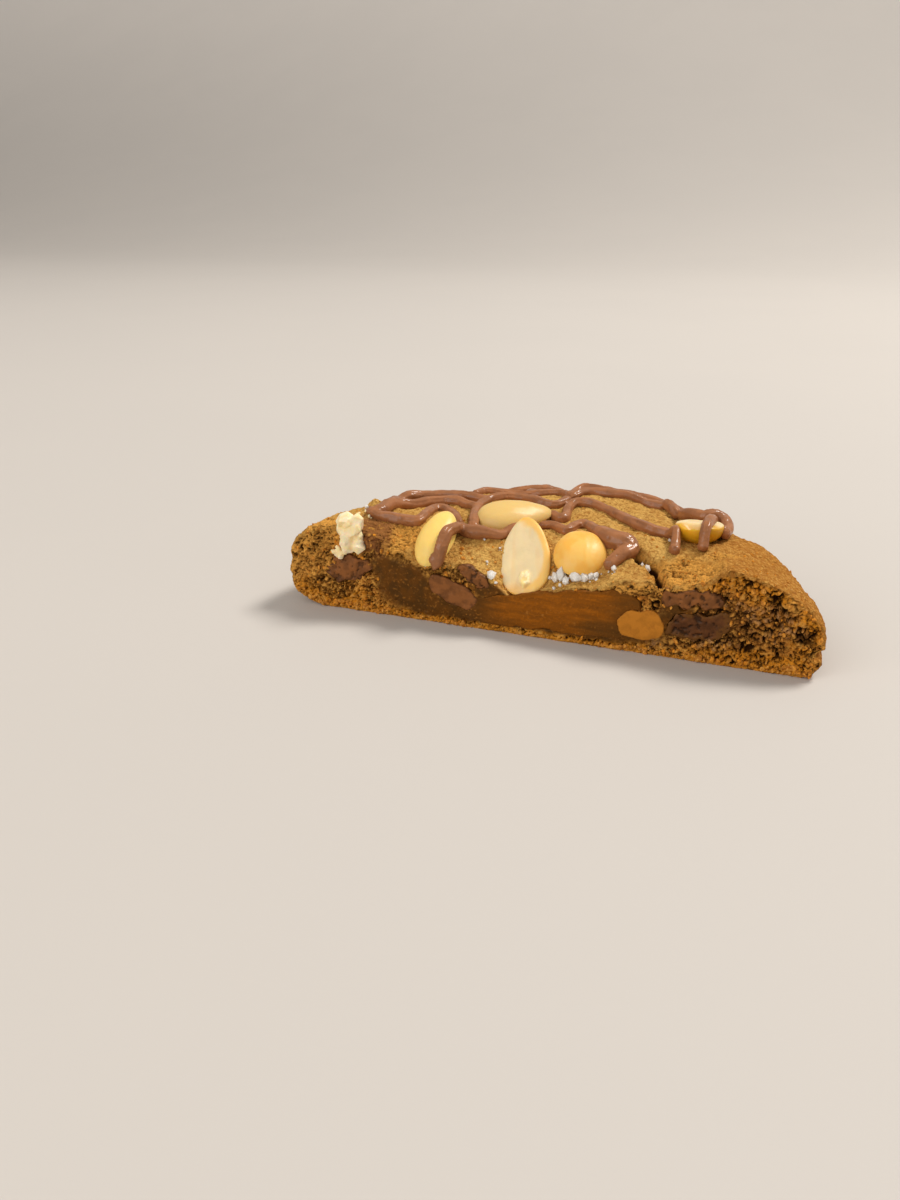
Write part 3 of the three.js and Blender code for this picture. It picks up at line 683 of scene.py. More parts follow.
def shape_cut(dough, sizes):
    """Gives the cut its torn crumb, wiped filling and sockets, and the crust its grain"""
    SIDE = 47  # beyond this distance to the left the side wall is torn too
    ROUND = 0.8  # radius of the crust's edge over the cut
    SOCKET = 1.5  # how far the crumb steps back behind what is set in
    JAG = 0.4  # how far the torn crumb strays along the cut
    BARE_SHARE = 0.45  # how deep the pores on top are, as a share of those at the cut
    DENT = (54, 4.9, 4, 0.9)  # the notch at the right end: middle x and z, and reach in x and z
    DENT_DEPTH = 1.4
    DENT_LENGTH = 6  # how far back it goes
    pore_depth = sizes.pore_depth / MM
    grain = sizes.grain / MM

    def shape(place, normal):
        x, y, z = place
        out = math.hypot(x, y) / rim_radius(math.atan2(y, x))
        over = crown(x, y)
        cover = max(0.0, min(over - z, z, (1 - out) * RADIUS))
        roof = max(0.0, over - z)
        cut = smoothstep(y, CUT_BACK + 0.9, CUT_BACK + 0.1)
        wander = noise.noise_vector(place / 2.1)
        wiped = patches(x + wander.x, z + 0.8 * wander.z, MOIST, 1.3, 0.75)
        moist = wiped * smoothstep(z + 0.5 * wander.x, 1, 2)
        torn = cut * smoothstep(roof + 0.7 * wander.y, 0.3, 1.1)
        split = 0.0
        if z > 8 and normal.z > 0.2:
            torn = max(torn, patches(x + 1.4 * wander.x, y + 1.4 * wander.y, BARE))
            split = crack_depth(x, y)
        torn = max(torn, smoothstep(-x, SIDE, SIDE + 2.5) * smoothstep(roof, 0.8, 2))
        spot = place if cut > 0.5 else Vector((x, y, z + 0.6 * y))
        relief, pore_shade, tone = crumb_relief(spot)
        rough = 1 - 0.85 * moist
        inward = relief * pore_depth * rough * lerp(0.45, 1, smoothstep(cover, 0.1, 1.4))
        shift = Vector((0, inward * cut, -split))
        if cut > 0:
            for inset in INSETS.values():
                share = inset_share(inset, x, z)
                shift.y = max(shift.y, SOCKET * cut * smoothstep(share, 0.97, 0.88))
            jag = noise.noise_vector(place / 1.1) * JAG * cut * (1 - moist)
            shift += Vector((jag.x, 0, jag.z if z > 1 else 0))
            shift.y += cut * (ROUND - math.sqrt(ROUND**2 - max(0.0, ROUND - roof) ** 2))
        if torn > cut:
            shift -= normal * BARE_SHARE * relief * (torn - cut) * pore_depth
            pore_shade *= BARE_SHARE
        crust = 1 - torn
        if z > 0.3:
            swell = 0.4 * noise.noise(place / 6) + 0.3 * noise.noise(place / 2.3)
            shift.x -= DENT_DEPTH * bell(x, z, *DENT) * math.exp(-((y / DENT_LENGTH) ** 2))
            sand = grain * noise.fractal(place, 0.7, 2.1, 3)
            shift += normal * crust * (swell + sand) * (1 - 0.5 * cut)
        moved = place + shift

        zone = x + 1.5 * wander.x, z + 1.2 * wander.z
        # how much painted shade the pores, gaps and the crack get
        deep = max(pore_shade * rough * smoothstep(cover, 0, 0.8) if cut > 0.5 else pore_shade, 0) * torn
        dry = smoothstep(noise.noise(place / 0.8), -0.1, 0.3)
        wiped_on = smoothstep(noise.noise(place / 0.9), -0.6, -0.2) * smoothstep(z, 12, 14.5)
        return (
            (moved.x, moved.y, max(0.0, moved.z)),
            crust * (1 - smoothstep(split, 0.3, 1.5)),
            max(deep, smoothstep(split, 1, 3)),
            moist * cut,
            tone,
            smoothstep(cover, 0.4, 3.5) * cut,
            patches(*zone, GOLDEN, 1.4, 0.5),
            patches(*zone, DARK, 1.4, 0.6) * cut,
            patches(*zone, RUSTY, 1.4, 0.6) * cut,
            patches(*zone, PALE, 1.4, 0.5) * cut * dry,
            patches(x + wander.x, y + wander.y, SMEAR) * wiped_on,
        )

    shape_points(dough, MASKS, shape)


def dough_material(colours):
    dough = Finish("baked dough")
    baked, pore_shade, moist, tone, inner, golden, dark, rusty, pale, smear = map(dough.value_of, MASKS)
    x, _, z = dough.axes()
    right = dough.span(x, 22.0, 38.0)
    grains = dough.grains(0.7, 0.9, 1.6)
    crust = dough.layers(
        dough.mix(right, colours.crust, colours.tan),
        (dough.blotches(5.0), 0.35, colours.tan),
        (dough.blotches(1.6, 0.5, 0.7), 0.4, colours.rim),
        (dough.span(z, 12.0, 2.0), 0.75, colours.rim),
        # painted highlight on the raised middles of the crust's grains, and painted shade in the creases
        # between them
        (dough.span(grains, 0.5, 0.15), 0.35, toned(colours.crust, 1.35)),
        (dough.span(grains, 0.5, 0.85), 0.55, colours.rim),
        (dough.blotches(0.7, 0.56, 0.7), 0.6, colours.rim),
    )
    soaked = dough.layers(
        colours.moist,
        (dough.blotches(2.5), 0.18, colours.caramel),
        (dough.blotches(0.55, 0.55, 0.7), 0.35, colours.crumb),
    )
    light = dough.layers(toned(colours.golden, 1.15), (right, 0.5, colours.tan))
    surface = dough.layers(
        dough.mix(inner, colours.golden, colours.crumb),
        (golden, 0.6, colours.golden),
        (rusty, 0.9, colours.rusty),
        (dark, 0.8, colours.melted),
        # lighter crumb where the tone is high and darker where it is low: a random tone per grain, with
        # painted highlight and painted shade on the fine grain
        (dough.span(tone, 0.0, 0.75), 0.9, light),
        (dough.span(tone, -0.05, -0.8), 0.65, colours.moist),
        (dough.blotches(0.4, 0.5, 0.68), 0.5, light),
        (dough.blotches(0.55, 0.58, 0.72), 0.5, colours.moist),
        (pale, 0.6, colours.pale),
        # painted shade in the pores, gaps and the crack
        (dough.span(pore_shade, 0.12, 0.9), 1, colours.pore_shade),
        (moist, 1, soaked),
        (baked, 1, crust),
        (smear, 0.85, toned(colours.drizzle, 0.95)),
    )
    height = dough.math("SUBTRACT", dough.noise(0.5, 4.0, 0.65), dough.math("MULTIPLY", grains, 0.7))
    return dough.feed(
        colour=surface, roughness=dough.span(moist, 1.6, -0.1), specular=0.12, glint=(1, 0.75, 0.45),
        normal=dough.bump(height, 0.0005, dough.span(moist, 1.3, -0.3)),
    )


class CookieDough(bpy.types.Operator):
    """The baked dough: crust, torn crumb and the sockets of what is set into it"""

    bl_idname = "cookie.dough"
    bl_label = "Baked dough"

    def execute(self, context):
        FRONT = CUT_BACK + 0.7  # what lies ahead of this belongs to the cut
        BACK = 35  # what lies behind this is hardly seen
        TOP = 8  # least height of the crown
        UP = 0.3  # least upward part of a normal on top

        def on_crown(middle, normal):
            return normal.z > UP and middle.z > TOP and FRONT < middle.y < BACK

        def on_cut(middle, normal):
            return middle.y < FRONT

        def shows(middle, normal):
            if not on_cut(middle, normal):
                return False
            return all(inset_share(inset, middle.x, middle.z) > 0.8 for inset in INSETS.values())

        def bare(middle, normal):
            if middle.x < -44 and normal.x < -0.2 and middle.z > 0.4 and FRONT < middle.y < 30:
                return True
            return normal.z > UP and middle.y > 1 and patches(*middle.xy, [*BARE, *CRACKED]) > 0

        sizes = context.scene.cookie_sizes
        deselect_all()
        bpy.ops.mesh.primitive_uv_sphere_add(segments=240, ring_count=140, radius=1)
        dough = named("baked_dough")
        reshape(dough, on_dough)
        cut_off(dough)
        remesh(dough, sizes.crumb_grid / MM)
        for wanted in (on_crown, on_cut, shows, bare):
            refine(dough, wanted)
        shape_cut(dough, sizes)
        settle(dough, dough_material(context.scene.cookie_colours), "baked_dough", "cookie_dough")
        return {"FINISHED"}


# What is set in at the cut

def inset_lump(name, grid):
    """An inset as a smooth lump, cut off flat just ahead of the crumb"""
    inset = INSETS[name]
    square = inset["square"]
    turn = Matrix.Rotation(-math.radians(inset["tilt"]), 3, "Y")

    def shape(point):
        section = (abs(point.x) ** square + abs(point.z) ** square) ** (1 / square)
        grow = math.hypot(point.x, point.z) / section if section else 1.0
        lump = Vector((point.x * grow, point.y, point.z * grow)) * Vector(inset["half"])
        lump.z *= max(0.2, 1 + inset["widen"] * lump.x)
        place = turn @ lump + Vector(inset["at"])
        stray_x, stray_z = ragged(inset, place.x, place.z)
        return Vector((place.x + stray_x, place.y, max(0.1, place.z + stray_z)))

    short = name.replace("_filling", "").replace("chocolate_chunk", "chunk")
    deselect_all()
    bpy.ops.mesh.primitive_ico_sphere_add(subdivisions=5, radius=1)
    lump = named(short + "_lump")
    reshape(lump, shape)
    cut_off(lump)
    remesh(lump, grid)
    return lump


def shape_lump(lump, inset, swelling, neighbours=()):
    """Roughens a lump, makes room for its neighbours, and keeps where its rim and its pits are"""

    def shape(place, normal):
        rim = inset_share(inset, place.x, place.z)
        swell = noise.noise(place / swelling)
        pit = smoothstep(noise.fractal(place / 0.9, 0.9, 2.1, 3), 0.15, 0.5) * inset["rough"]
        front = smoothstep(place.y, CUT_BACK + 2, CUT_BACK)
        shares = [inset_share(neighbour, place.x, place.z) for neighbour in neighbours]
        room = max([smoothstep(share, 0.98, 0.9) for share in shares], default=0)
        place += normal * (0.5 * inset["rough"] * swell - 0.9 * pit)
        return place + Vector((0, 1.2 * front * room, 0)), rim, pit

    shape_points(lump, ("rim", "pit"), shape)


def caramel_material(colours):
    caramel = Finish("caramel")
    x, _, z = caramel.axes()
    streaks = caramel.moved(Scale=(0.2, 1, 1.1))
    deep = caramel.mix(0.45, colours.caramel, colours.moist)
    amber = toned(colours.caramel, 1.7)
    oval = caramel.moved(Location=(-1.9, 0, -1.65), Scale=(0.14, 0, 0.4))
    off_oval = caramel.add("ShaderNodeVectorMath", {0: oval}, operation="LENGTH").outputs["Value"]
    strewn = caramel.span(caramel.noise(5.0), 0.45, 0.7)
    shade = caramel.layers(
        colours.caramel,
        (caramel.blotches(1.6, 0.3, 0.7, streaks), 1, deep),
        (caramel.blotches(0.7, 0.5, 0.75, streaks), 0.5, amber),
        (caramel.blotches(0.5, 0.52, 0.7), 0.35, amber),
        (caramel.span(z, 4.0, 1.6), 0.3, colours.moist),
        (caramel.span(off_oval, 1.1, 0.3), 0.75, colours.moist),
        (caramel.span(caramel.value_of("rim"), 0.86, 1.02), 0.35, colours.moist),
        (caramel.span(x, -4.0, -13.0), 0.85, colours.moist),
        (caramel.span(x, 12.0, 17.5), 0.6, colours.moist),
        (caramel.math("MULTIPLY", caramel.blotches(0.6, 0.6, 0.7), strewn), 1, colours.crumb),
    )
    ripples = caramel.math("ADD", caramel.noise(0.9, 4.0, place=streaks), caramel.noise(0.5))
    return caramel.feed(
        colour=shade, roughness=caramel.span(caramel.noise(2.0), -0.5, 1.4), specular=0.25,
        glint=(1, 0.6, 0.25), normal=caramel.bump(ripples, 0.0004, 0.6),
    )


def chocolate_material(name, tone, pale, gloss, crumble, shine, fringe=None, **more):
    """Chocolate: a smooth tone, paler where rubbed or crumbled, with painted shade in its pits and at its
    rim
    """
    chocolate = Finish(name)
    dark = toned(tone, 0.3)
    rim = chocolate.math("ADD", chocolate.value_of("rim"), chocolate.noise(0.9, 4.0, 0.7))
    layers = [
        (chocolate.blotches(2.4), 1, pale),
        (chocolate.blotches(0.5, 0.55, 0.7), crumble, pale),
        # painted shade at the rim, in the crevice against the crumb, and in the pits
        (chocolate.span(rim, 1.35, 1.55), 0.6, dark),
        (chocolate.span(chocolate.value_of("pit"), 0.05, 0.5), 1, dark),
    ]
    if fringe:
        layers.insert(3, (chocolate.span(rim, 1.1, 1.4), 0.8, fringe))
    roughness = chocolate.span(chocolate.noise(1.5), gloss - 0.9, gloss + 1.1)
    return chocolate.feed(
        colour=chocolate.layers(tone, *layers), roughness=roughness, specular=shine, glint=(1, 0.8, 0.65),
        normal=chocolate.bump(chocolate.noise(0.6, 4.0, 0.6), 0.00015, 0.5), **more,
    )


def chip_material(colours):
    chip = Finish("peanut butter chip")
    shade = chip.layers(
        colours.chip,
        (chip.blotches(1.8), 1, toned(colours.chip, 0.85)),
        # painted shade, in the rim colour, at the chip's edge against the crumb and in its pits
        (chip.span(chip.value_of("rim"), 0.92, 1.06), 0.7, colours.rim),
        (chip.span(chip.value_of("pit"), 0.03, 0.12), 1, colours.rim),
    )
    return chip.feed(
        colour=shade, roughness=chip.span(chip.noise(1.5), -0.6, 1.3), specular=0.15, glint=(1, 0.7, 0.35),
        normal=chip.bump(chip.noise(0.5, 4.0, 0.6), 0.00015, 0.6),
    )


class CookieFilling(bpy.types.Operator):
    """The caramel filling"""

    bl_idname = "cookie.filling"
    bl_label = "Caramel filling"

    def execute(self, context):
        GRID = 0.35  # spacing of its mesh
        SWELLING = 5  # size of the soft waves of its surface
        lump = inset_lump("caramel_filling", GRID)
        neighbours = [INSETS["peanut_butter_chip"], INSETS["chocolate_chunk_1"]]
        shape_lump(lump, INSETS["caramel_filling"], SWELLING, neighbours)
        settle(lump, caramel_material(context.scene.cookie_colours), "caramel", "caramel_filling")
        return {"FINISHED"}


class CookieLumps(bpy.types.Operator):
    """The chocolate chunks, the melted chocolate and the peanut butter chip at the cut"""

    bl_idname = "cookie.lumps"
    bl_label = "Chocolate and chip"

    def execute(self, context):
        GRID = 0.22
        SWELLING = 1.5
        colours = context.scene.cookie_colours
        milk = chocolate_material(
            "milk chocolate", colours.chunk, toned(colours.chunk, 1.5), 0.4, 0.35, 0.25)
        melted = chocolate_material(
            "melted chocolate", colours.melted, toned(colours.melted, 1.6), 0.5, 0.3, 0.2,
            fringe=toned(colours.crumb, 0.3))
        looks = {
            "peanut_butter_chip": (chip_material(colours), "peanut_butter_chip"),
            "melted_chocolate": (melted, "melted_chocolate"),
        }
        for name in INSETS:
            if name == "caramel_filling":
                continue
            lump = inset_lump(name, GRID)
            shape_lump(lump, INSETS[name], SWELLING)
            settle(lump, *looks.get(name, (milk, "milk_chocolate")), name)
        return {"FINISHED"}


# Peanuts

def peanut_frame(nut):
    """A peanut's turn and place, with x across, y along and z to its rounded back, and its length"""
    base, tip = Vector(nut["base"]), Vector(nut["tip"])
    along = (tip - base).normalized()
    side = along.cross(Vector(nut["back"])).normalized()
    back = side.cross(along)
    turn = Matrix((side, along, back)).transposed().to_4x4()
    return Matrix.Translation((base + tip) / 2) @ turn, (tip - base).length


def shape_peanut(piece, nut):
    """Turns a ball into a split peanut, and keeps what its colours follow: its flat face, germ and so on"""
    matrix, long = peanut_frame(nut)
    width, thick = nut["width"], nut["thick"]
    edge = thick / 4

    def shape(point, _):
        girth = math.hypot(point.x, point.y)
        across, up = (point.x / girth, point.y / girth) if girth > 1e-4 else (0.0, 0.0)
        bare_girth = math.hypot(girth * across, point.z)
        girth *= 1 - nut["taper"] * point.z
        dish = min(1, girth * 1.6) * (1 - 0.55 * up * up)
        rise = (thick - edge) * girth * up if up > 0 else edge * dish * up
        place = Vector((across * width / 2 * girth, point.z * long / 2, edge + rise))
        flat = smoothstep(up, -0.12, -0.4) * smoothstep(girth, 0.25, 0.5)
        wrinkle = noise.noise(Vector((place.x / 0.9, place.y / 8, nut["base"][0])))
        dent = noise.noise(place / 3.2 + Vector(nut["base"]))
        place.z += 0.06 * wrinkle + 0.16 * dent
        place.x += 0.14 * noise.noise(Vector((place.y / 4, nut["tip"][0], 0)))
        germ = rim = 0.0
        if nut.get("germ"):
            wander = noise.noise_vector(place / 0.8) * 0.5
            off = math.hypot((place.x + wander.x + 0.3) / 1.2, (place.y + wander.y + long * 0.3) / 1.9)
            germ = smoothstep(off, 1.05, 0.8) * flat
            place.z -= germ * (0.7 + 0.5 * noise.noise(place / 0.7))
            rim = smoothstep(bare_girth + 0.05 * wander.x, 0.68, 0.82) * smoothstep(-across, -0.4, 0.3)
        if nut.get("lobes"):
            front = smoothstep(-point.z, 0.1, 0.6)
            lobe = smoothstep(abs(place.x) / width + 0.25 * point.z, -0.2, -0.05) * front
            flat *= 1 - lobe
            notch = 2.3 * max(0.0, 1 - abs(place.x - 0.3) / 2.8) * smoothstep(-point.z, 0.2, 0.6)
            place.z += (notch + 0.3 * smoothstep(-point.z, 0, 1)) * smoothstep(up, 0.6, -0.4) * girth
        return matrix @ place, flat, germ, wrinkle, point.z, place.x / width * 2, rim, nut["roast_and_shade"]

    shape_points(piece, NUT_MASKS, shape)


def peanut_material(colours):
    nut = Finish("peanut")
    flat, germ, line, along, side, rim, roast_and_shade = map(nut.value_of, NUT_MASKS)
    toasted = toned(colours.peanut, 1, 0.87, 0.6)
    back = nut.layers(
        colours.peanut,
        (nut.blotches(4.0), 1, toasted),
        (nut.span(line, -0.1, 0.8), 0.8, toasted),
        (nut.span(roast_and_shade, 0.9, -0.1), 1, toned(colours.peanut, 1.06, 1.22, 1.4)),
        (nut.span(roast_and_shade, 1.2, 2.0), 1, toned(colours.peanut, 0.76, 0.66, 0.1)),
        # painted shade: a dull, darker colour for the peanut behind
        (nut.span(roast_and_shade, 0.0, -1.0), 1, toned(colours.kernel, 0.88, 0.74, 0.43)),
    )
    foot = nut.math("MULTIPLY", nut.span(along, -0.55, -0.95), nut.span(side, -0.25, 0.35))
    face = nut.layers(
        colours.kernel,
        (nut.blotches(2.6), 1, toned(colours.kernel, 0.95)),
        (nut.span(line, 0.0, 0.6), 0.5, toned(colours.kernel, 1, 0.88, 0.72)),
        (foot, 0.8, toasted),
    )
    cream = nut.mix(nut.blotches(0.9), (1, 0.86, 0.52), (0.95, 0.7, 0.28))
    shade = nut.layers(back, (flat, 1, face), (rim, 0.9, colours.peanut), (germ, 1, cream))
    return nut.feed(
        colour=shade, roughness=0.4, specular=0.35, glow=0.25, glow_radius=(1.0, 0.6, 0.25),
        glow_scale=0.0015, normal=nut.bump(nut.noise(0.6), 0.00008, 0.5),
    )


class CookiePeanuts(bpy.types.Operator):
    """The split peanuts"""

    bl_idname = "cookie.peanuts"
    bl_label = "Split peanuts"

    def execute(self, context):
        material = peanut_material(context.scene.cookie_colours)
        for name, nut in PEANUTS.items():
            deselect_all()
            bpy.ops.mesh.primitive_uv_sphere_add(segments=80, ring_count=60, radius=1)
            piece = named(name + "_half")
            shape_peanut(piece, nut)
            settle(piece, material, "peanut", name)
        return {"FINISHED"}


def crushed_material(colours):
    bit = Finish("crushed peanut")
    white = toned(colours.kernel, 1.1, 1.17, 1.35)
    yellow = toned(colours.kernel, 1.06, 1.06, 0.95)
    return bit.feed(
        colour=bit.mix(bit.blotches(1.6), white, yellow), roughness=0.7, glow=0.2, glow_scale=0.001,
        normal=bit.bump(bit.noise(0.5, 4.0, 0.6), 0.0002, 0.7),
    )


class Shards:
    """Angular, flat grains: one is modelled, and the others are copies of it, bent and turned at random"""

    def __init__(self, seed):
        self.rng = random.Random(seed)
        deselect_all()
        bpy.ops.mesh.primitive_ico_sphere_add(subdivisions=1, radius=1)
        self.first = named("shard")
        self.grains = []

    def add(self, place, size, thinnest):
        rng = self.rng
        flat = Vector((1, rng.uniform(0.65, 1), rng.uniform(thinnest, 0.8))) * size
        turn = Euler([rng.uniform(0, 2 * math.pi) for _ in range(3)]).to_matrix()
        grain = linked("shard", self.first.data.copy())
        reshape(grain, lambda point: turn @ (point * flat * rng.uniform(0.7, 1.2)) + place)
        self.grains.append(grain)

    def join(self, name):
        bpy.data.objects.remove(self.first)
        return join(name, self.grains)


class CookieCrushedPeanuts(bpy.types.Operator):
    """The crushed peanut at the left end, in two pieces, each a cluster of jagged plates"""

    bl_idname = "cookie.crushed_peanuts"
    bl_label = "Crushed peanut"

    def execute(self, context):
        GRID = 0.15  # spacing of its mesh
        FLATTEST = 0.4  # least thickness of a plate, as a share of its width
        material = crushed_material(context.scene.cookie_colours)
        tree = ground_tree(["baked_dough"])
        for seed, (name, bit) in enumerate(CRUSHED.items(), 17):
            matrix, long = peanut_frame(bit)
            half = Vector((bit["width"], long, bit["thick"])) / 2
            plates = Shards(seed)
            count = bit["plates"]
            for i in range(count):
                along = 0.66 * (2 * i + 1 - count) / count
                across = 0.75 * math.sin(2.4 * i) * plates.rng.uniform(0.3, 1)
                ahead = plates.rng.uniform(0.1, 0.6)
                size = min(half.x, half.y) ** 0.6 * plates.rng.uniform(0.75, 1.05)
                plates.add(matrix @ (Vector((across, along, ahead)) * half), size, FLATTEST)
            for x, y, size in bit["splinters"]:
                plates.add(Vector((x, y, ground(tree, x, y) + 0.2)), size, FLATTEST)
            piece = plates.join(name + "_bit")
            remesh(piece, GRID)
            smooth(piece, 6)
            settle(piece, material, "crushed_peanut", name)
        return {"FINISHED"}


# Drizzle

def spread(places, step):
    """Points at even steps along a smooth curve through places, each with its thickness and height"""
    points = [Vector(place) for place in places]
    points = [2 * points[0] - points[1], *points, 2 * points[-1] - points[-2]]
    fine = []
    for p0, p1, p2, p3 in zip(points, points[1:], points[2:], points[3:]):
        count = max(2, math.ceil((p2 - p1).xy.length / step))
        bend = 2 * p0 - 5 * p1 + 4 * p2 - p3
        for i in range(count):
            t = i / count
            fine.append(0.5 * (2 * p1 + (p2 - p0) * t + bend * t * t + (3 * p1 - p0 - 3 * p2 + p3) * t**3))
    return fine + [points[-2]]


def ground_tree(names):
    """What strands lie on, as one tree of faces in the frame"""
    corners, faces = [], []
    for name in names:
        mesh = bpy.data.objects[name].data
        start = len(corners)
        corners += [vertex.co for vertex in mesh.vertices]
        faces += [[start + i for i in polygon.vertices] for polygon in mesh.polygons]
    return BVHTree.FromPolygons(corners, faces)


def ground(tree, x, y):
    """The height of what lies under a place in plan, in millimetres"""
    start = (Vector((x, y, 2 * CROWN)) + PLACE) * MM
    hit = tree.ray_cast(start, Vector((0, 0, -1)))[0]
    return hit.z / MM if hit else 0.0


def strand_route(tree, places, scale):
    """A strand's points and its half thickness at each. A place without a height lies on the ground."""
    SUNK = 0.35  # share of its half thickness by which its middle lies over the ground
    STEP = 0.8  # distance from point to point
    ABOUT = ((0, 0), (0.5, 0), (-0.5, 0), (0, 0.5), (0, -0.5))  # where the ground is felt round a point
    known = []
    for x, y, thickness, *height in places:
        size = scale * thickness
        known.append((x, y, size, height[0] if height else ground(tree, x, y) + SUNK * size / 2))
    fine = spread(known, STEP)
    floors = []
    for x, y, size, _ in fine:
        highest = sorted(ground(tree, x + dx, y + dy) for dx, dy in ABOUT)[2:]
        floors.append(sum(highest) / 3 + SUNK * size / 2)
    for _ in range(3):
        ends = [floors[0], *floors, floors[-1]]
        floors = [(before + 2 * here + after) / 4 for before, here, after in zip(ends, ends[1:], ends[2:])]
    last = len(fine) - 1
    route = []
    for i, ((x, y, size, height), floor) in enumerate(zip(fine, floors)):
        half = size / 2 * (1 + 0.12 * noise.noise(Vector((x / 3.5, y / 3.5, 5))))
        end = min(i, last - i) * STEP / half
        half *= math.sqrt(max(0.15, 1 - max(0.0, 1 - end) ** 2))
        route.append((Vector((x, y, max(height, floor))), half))
    return route


def strand_tube(route):
    """One strand as a round tube along its route"""
    curve = bpy.data.curves.new("strand", "CURVE")
    curve.dimensions = "3D"
    curve.bevel_depth = 1
    curve.bevel_resolution = 4
    curve.use_fill_caps = True
    spline = curve.splines.new("POLY")
    spline.points.add(len(route) - 1)
    for point, (place, half) in zip(spline.points, route):
        point.co = (*place, 1)
        point.radius = half
    activate(linked("strand", curve))
    bpy.ops.object.convert(target="MESH")
    return bpy.context.object


def ridge(drizzle, routes):
    """Fine ridges along the strands, and pits where they crumbled"""
    RIDGE, PIT, WAVE = 0.2, 0.12, 0.14  # how high the ridges, how deep the pits and how high the waves are
    samples = [(place, i, k) for i, route in enumerate(routes) for k, (place, _) in enumerate(route)]
    tree = KDTree(len(samples))
    for index, (place, _, _) in enumerate(samples):
        tree.insert(place, index)
    tree.balance()

    def shape(place, normal):
        _, index, _ = tree.find(place)
        middle, i, k = samples[index]
        route = routes[i]
        along = (route[min(k + 1, len(route) - 1)][0] - route[max(k - 1, 0)][0]).normalized()
        side = Vector((-along.y, along.x, 0)).normalized()
        off = place - middle
        turn = math.atan2(off.z, off.dot(side))
        line = noise.noise(Vector((turn * 2.2, k * 0.12, i * 5.0)))
        crumble = smoothstep(noise.fractal(place / 0.9, 1, 2, 3), 0.5, 0.7)
        rise = RIDGE * line - PIT * crumble + WAVE * noise.noise(place / 2.2)
        return place + normal * rise, 0.2 * crumble

    shape_points(drizzle, ("pit",), shape)


class CookieDrizzle(bpy.types.Operator):
    """The strands of chocolate over the crown and the peanuts"""

    bl_idname = "cookie.drizzle"
    bl_label = "Chocolate drizzle"

    def execute(self, context):
        USUAL = 2  # thickness that the strands are written down for
        GRID = 0.26  # spacing of the mesh
        scale = context.scene.cookie_sizes.strand / MM / USUAL
        tint = context.scene.cookie_colours.drizzle
        lying = [name + "_half" for name in PEANUTS if name != "peanut_standing"]
        tree = ground_tree(["baked_dough", *lying])
        routes = [strand_route(tree, places, scale) for places in STRANDS]
        drizzle = join("chocolate_drizzle", [strand_tube(route) for route in routes])
        remesh(drizzle, GRID)
        smooth(drizzle, 2)
        ridge(drizzle, routes)
        material = chocolate_material(
            "drizzle chocolate", tint, toned(tint, 1.25), 0.2, 0.1, 0.3, coat=0.5, coat_roughness=0.16)
        settle(drizzle, material, "milk_chocolate", "cookie_dough")
        return {"FINISHED"}


# Salt and crumbs

def salt_material():
    salt = Finish("salt")
    return salt.feed(
        colour=salt.mix(salt.blotches(0.8, 0.35, 0.7), (0.97, 0.92, 0.84), (0.84, 0.77, 0.67)),
        roughness=0.15, ior=1.54, clear=0.15, glow=0.4, glow_radius=(1, 0.95, 0.9), glow_scale=0.002,
        normal=salt.bump(salt.noise(0.4, 2.0), 0.0001, 0.4),
    )


class CookieSalt(bpy.types.Operator):
    """The salt flakes on the crust"""

    bl_idname = "cookie.salt"
    bl_label = "Salt flakes"

    def execute(self, context):
        BITS = 3  # small bits round each flake
        tree = ground_tree(["baked_dough"])
        flakes = Shards(31)
        rng = flakes.rng
        for x, y, size in FLAKES:
            flakes.add(Vector((x, y, ground(tree, x, y) + size * 0.3)), size * 0.68, 0.6)
            for _ in range(BITS):
                reach = size * rng.uniform(0.5, 0.9)
                turn = rng.uniform(0, 2 * math.pi)
                a, b = x + reach * math.cos(turn), y + reach * math.sin(turn)
                bit = size * rng.uniform(0.15, 0.36)
                if b > 0.6:
                    flakes.add(Vector((a, b, ground(tree, a, b) + bit * 0.4)), bit, 0.5)
        settle(flakes.join("salt_flakes"), salt_material(), None, "cookie_dough")
        bpy.ops.object.shade_flat()
        return {"FINISHED"}


def crumb_material(colours):
    crumb = Finish("loose crumbs")
    shade = crumb.layers(
        colours.golden,
        (crumb.blotches(3.0, 0.35, 0.65), 1, colours.rusty),
        (crumb.blotches(0.5, 0.4, 0.6), 1, colours.crumb),
    )
    return crumb.feed(
        colour=shade, roughness=0.9, specular=0.12, normal=crumb.bump(crumb.noise(0.3), 0.0002, 0.7),
    )


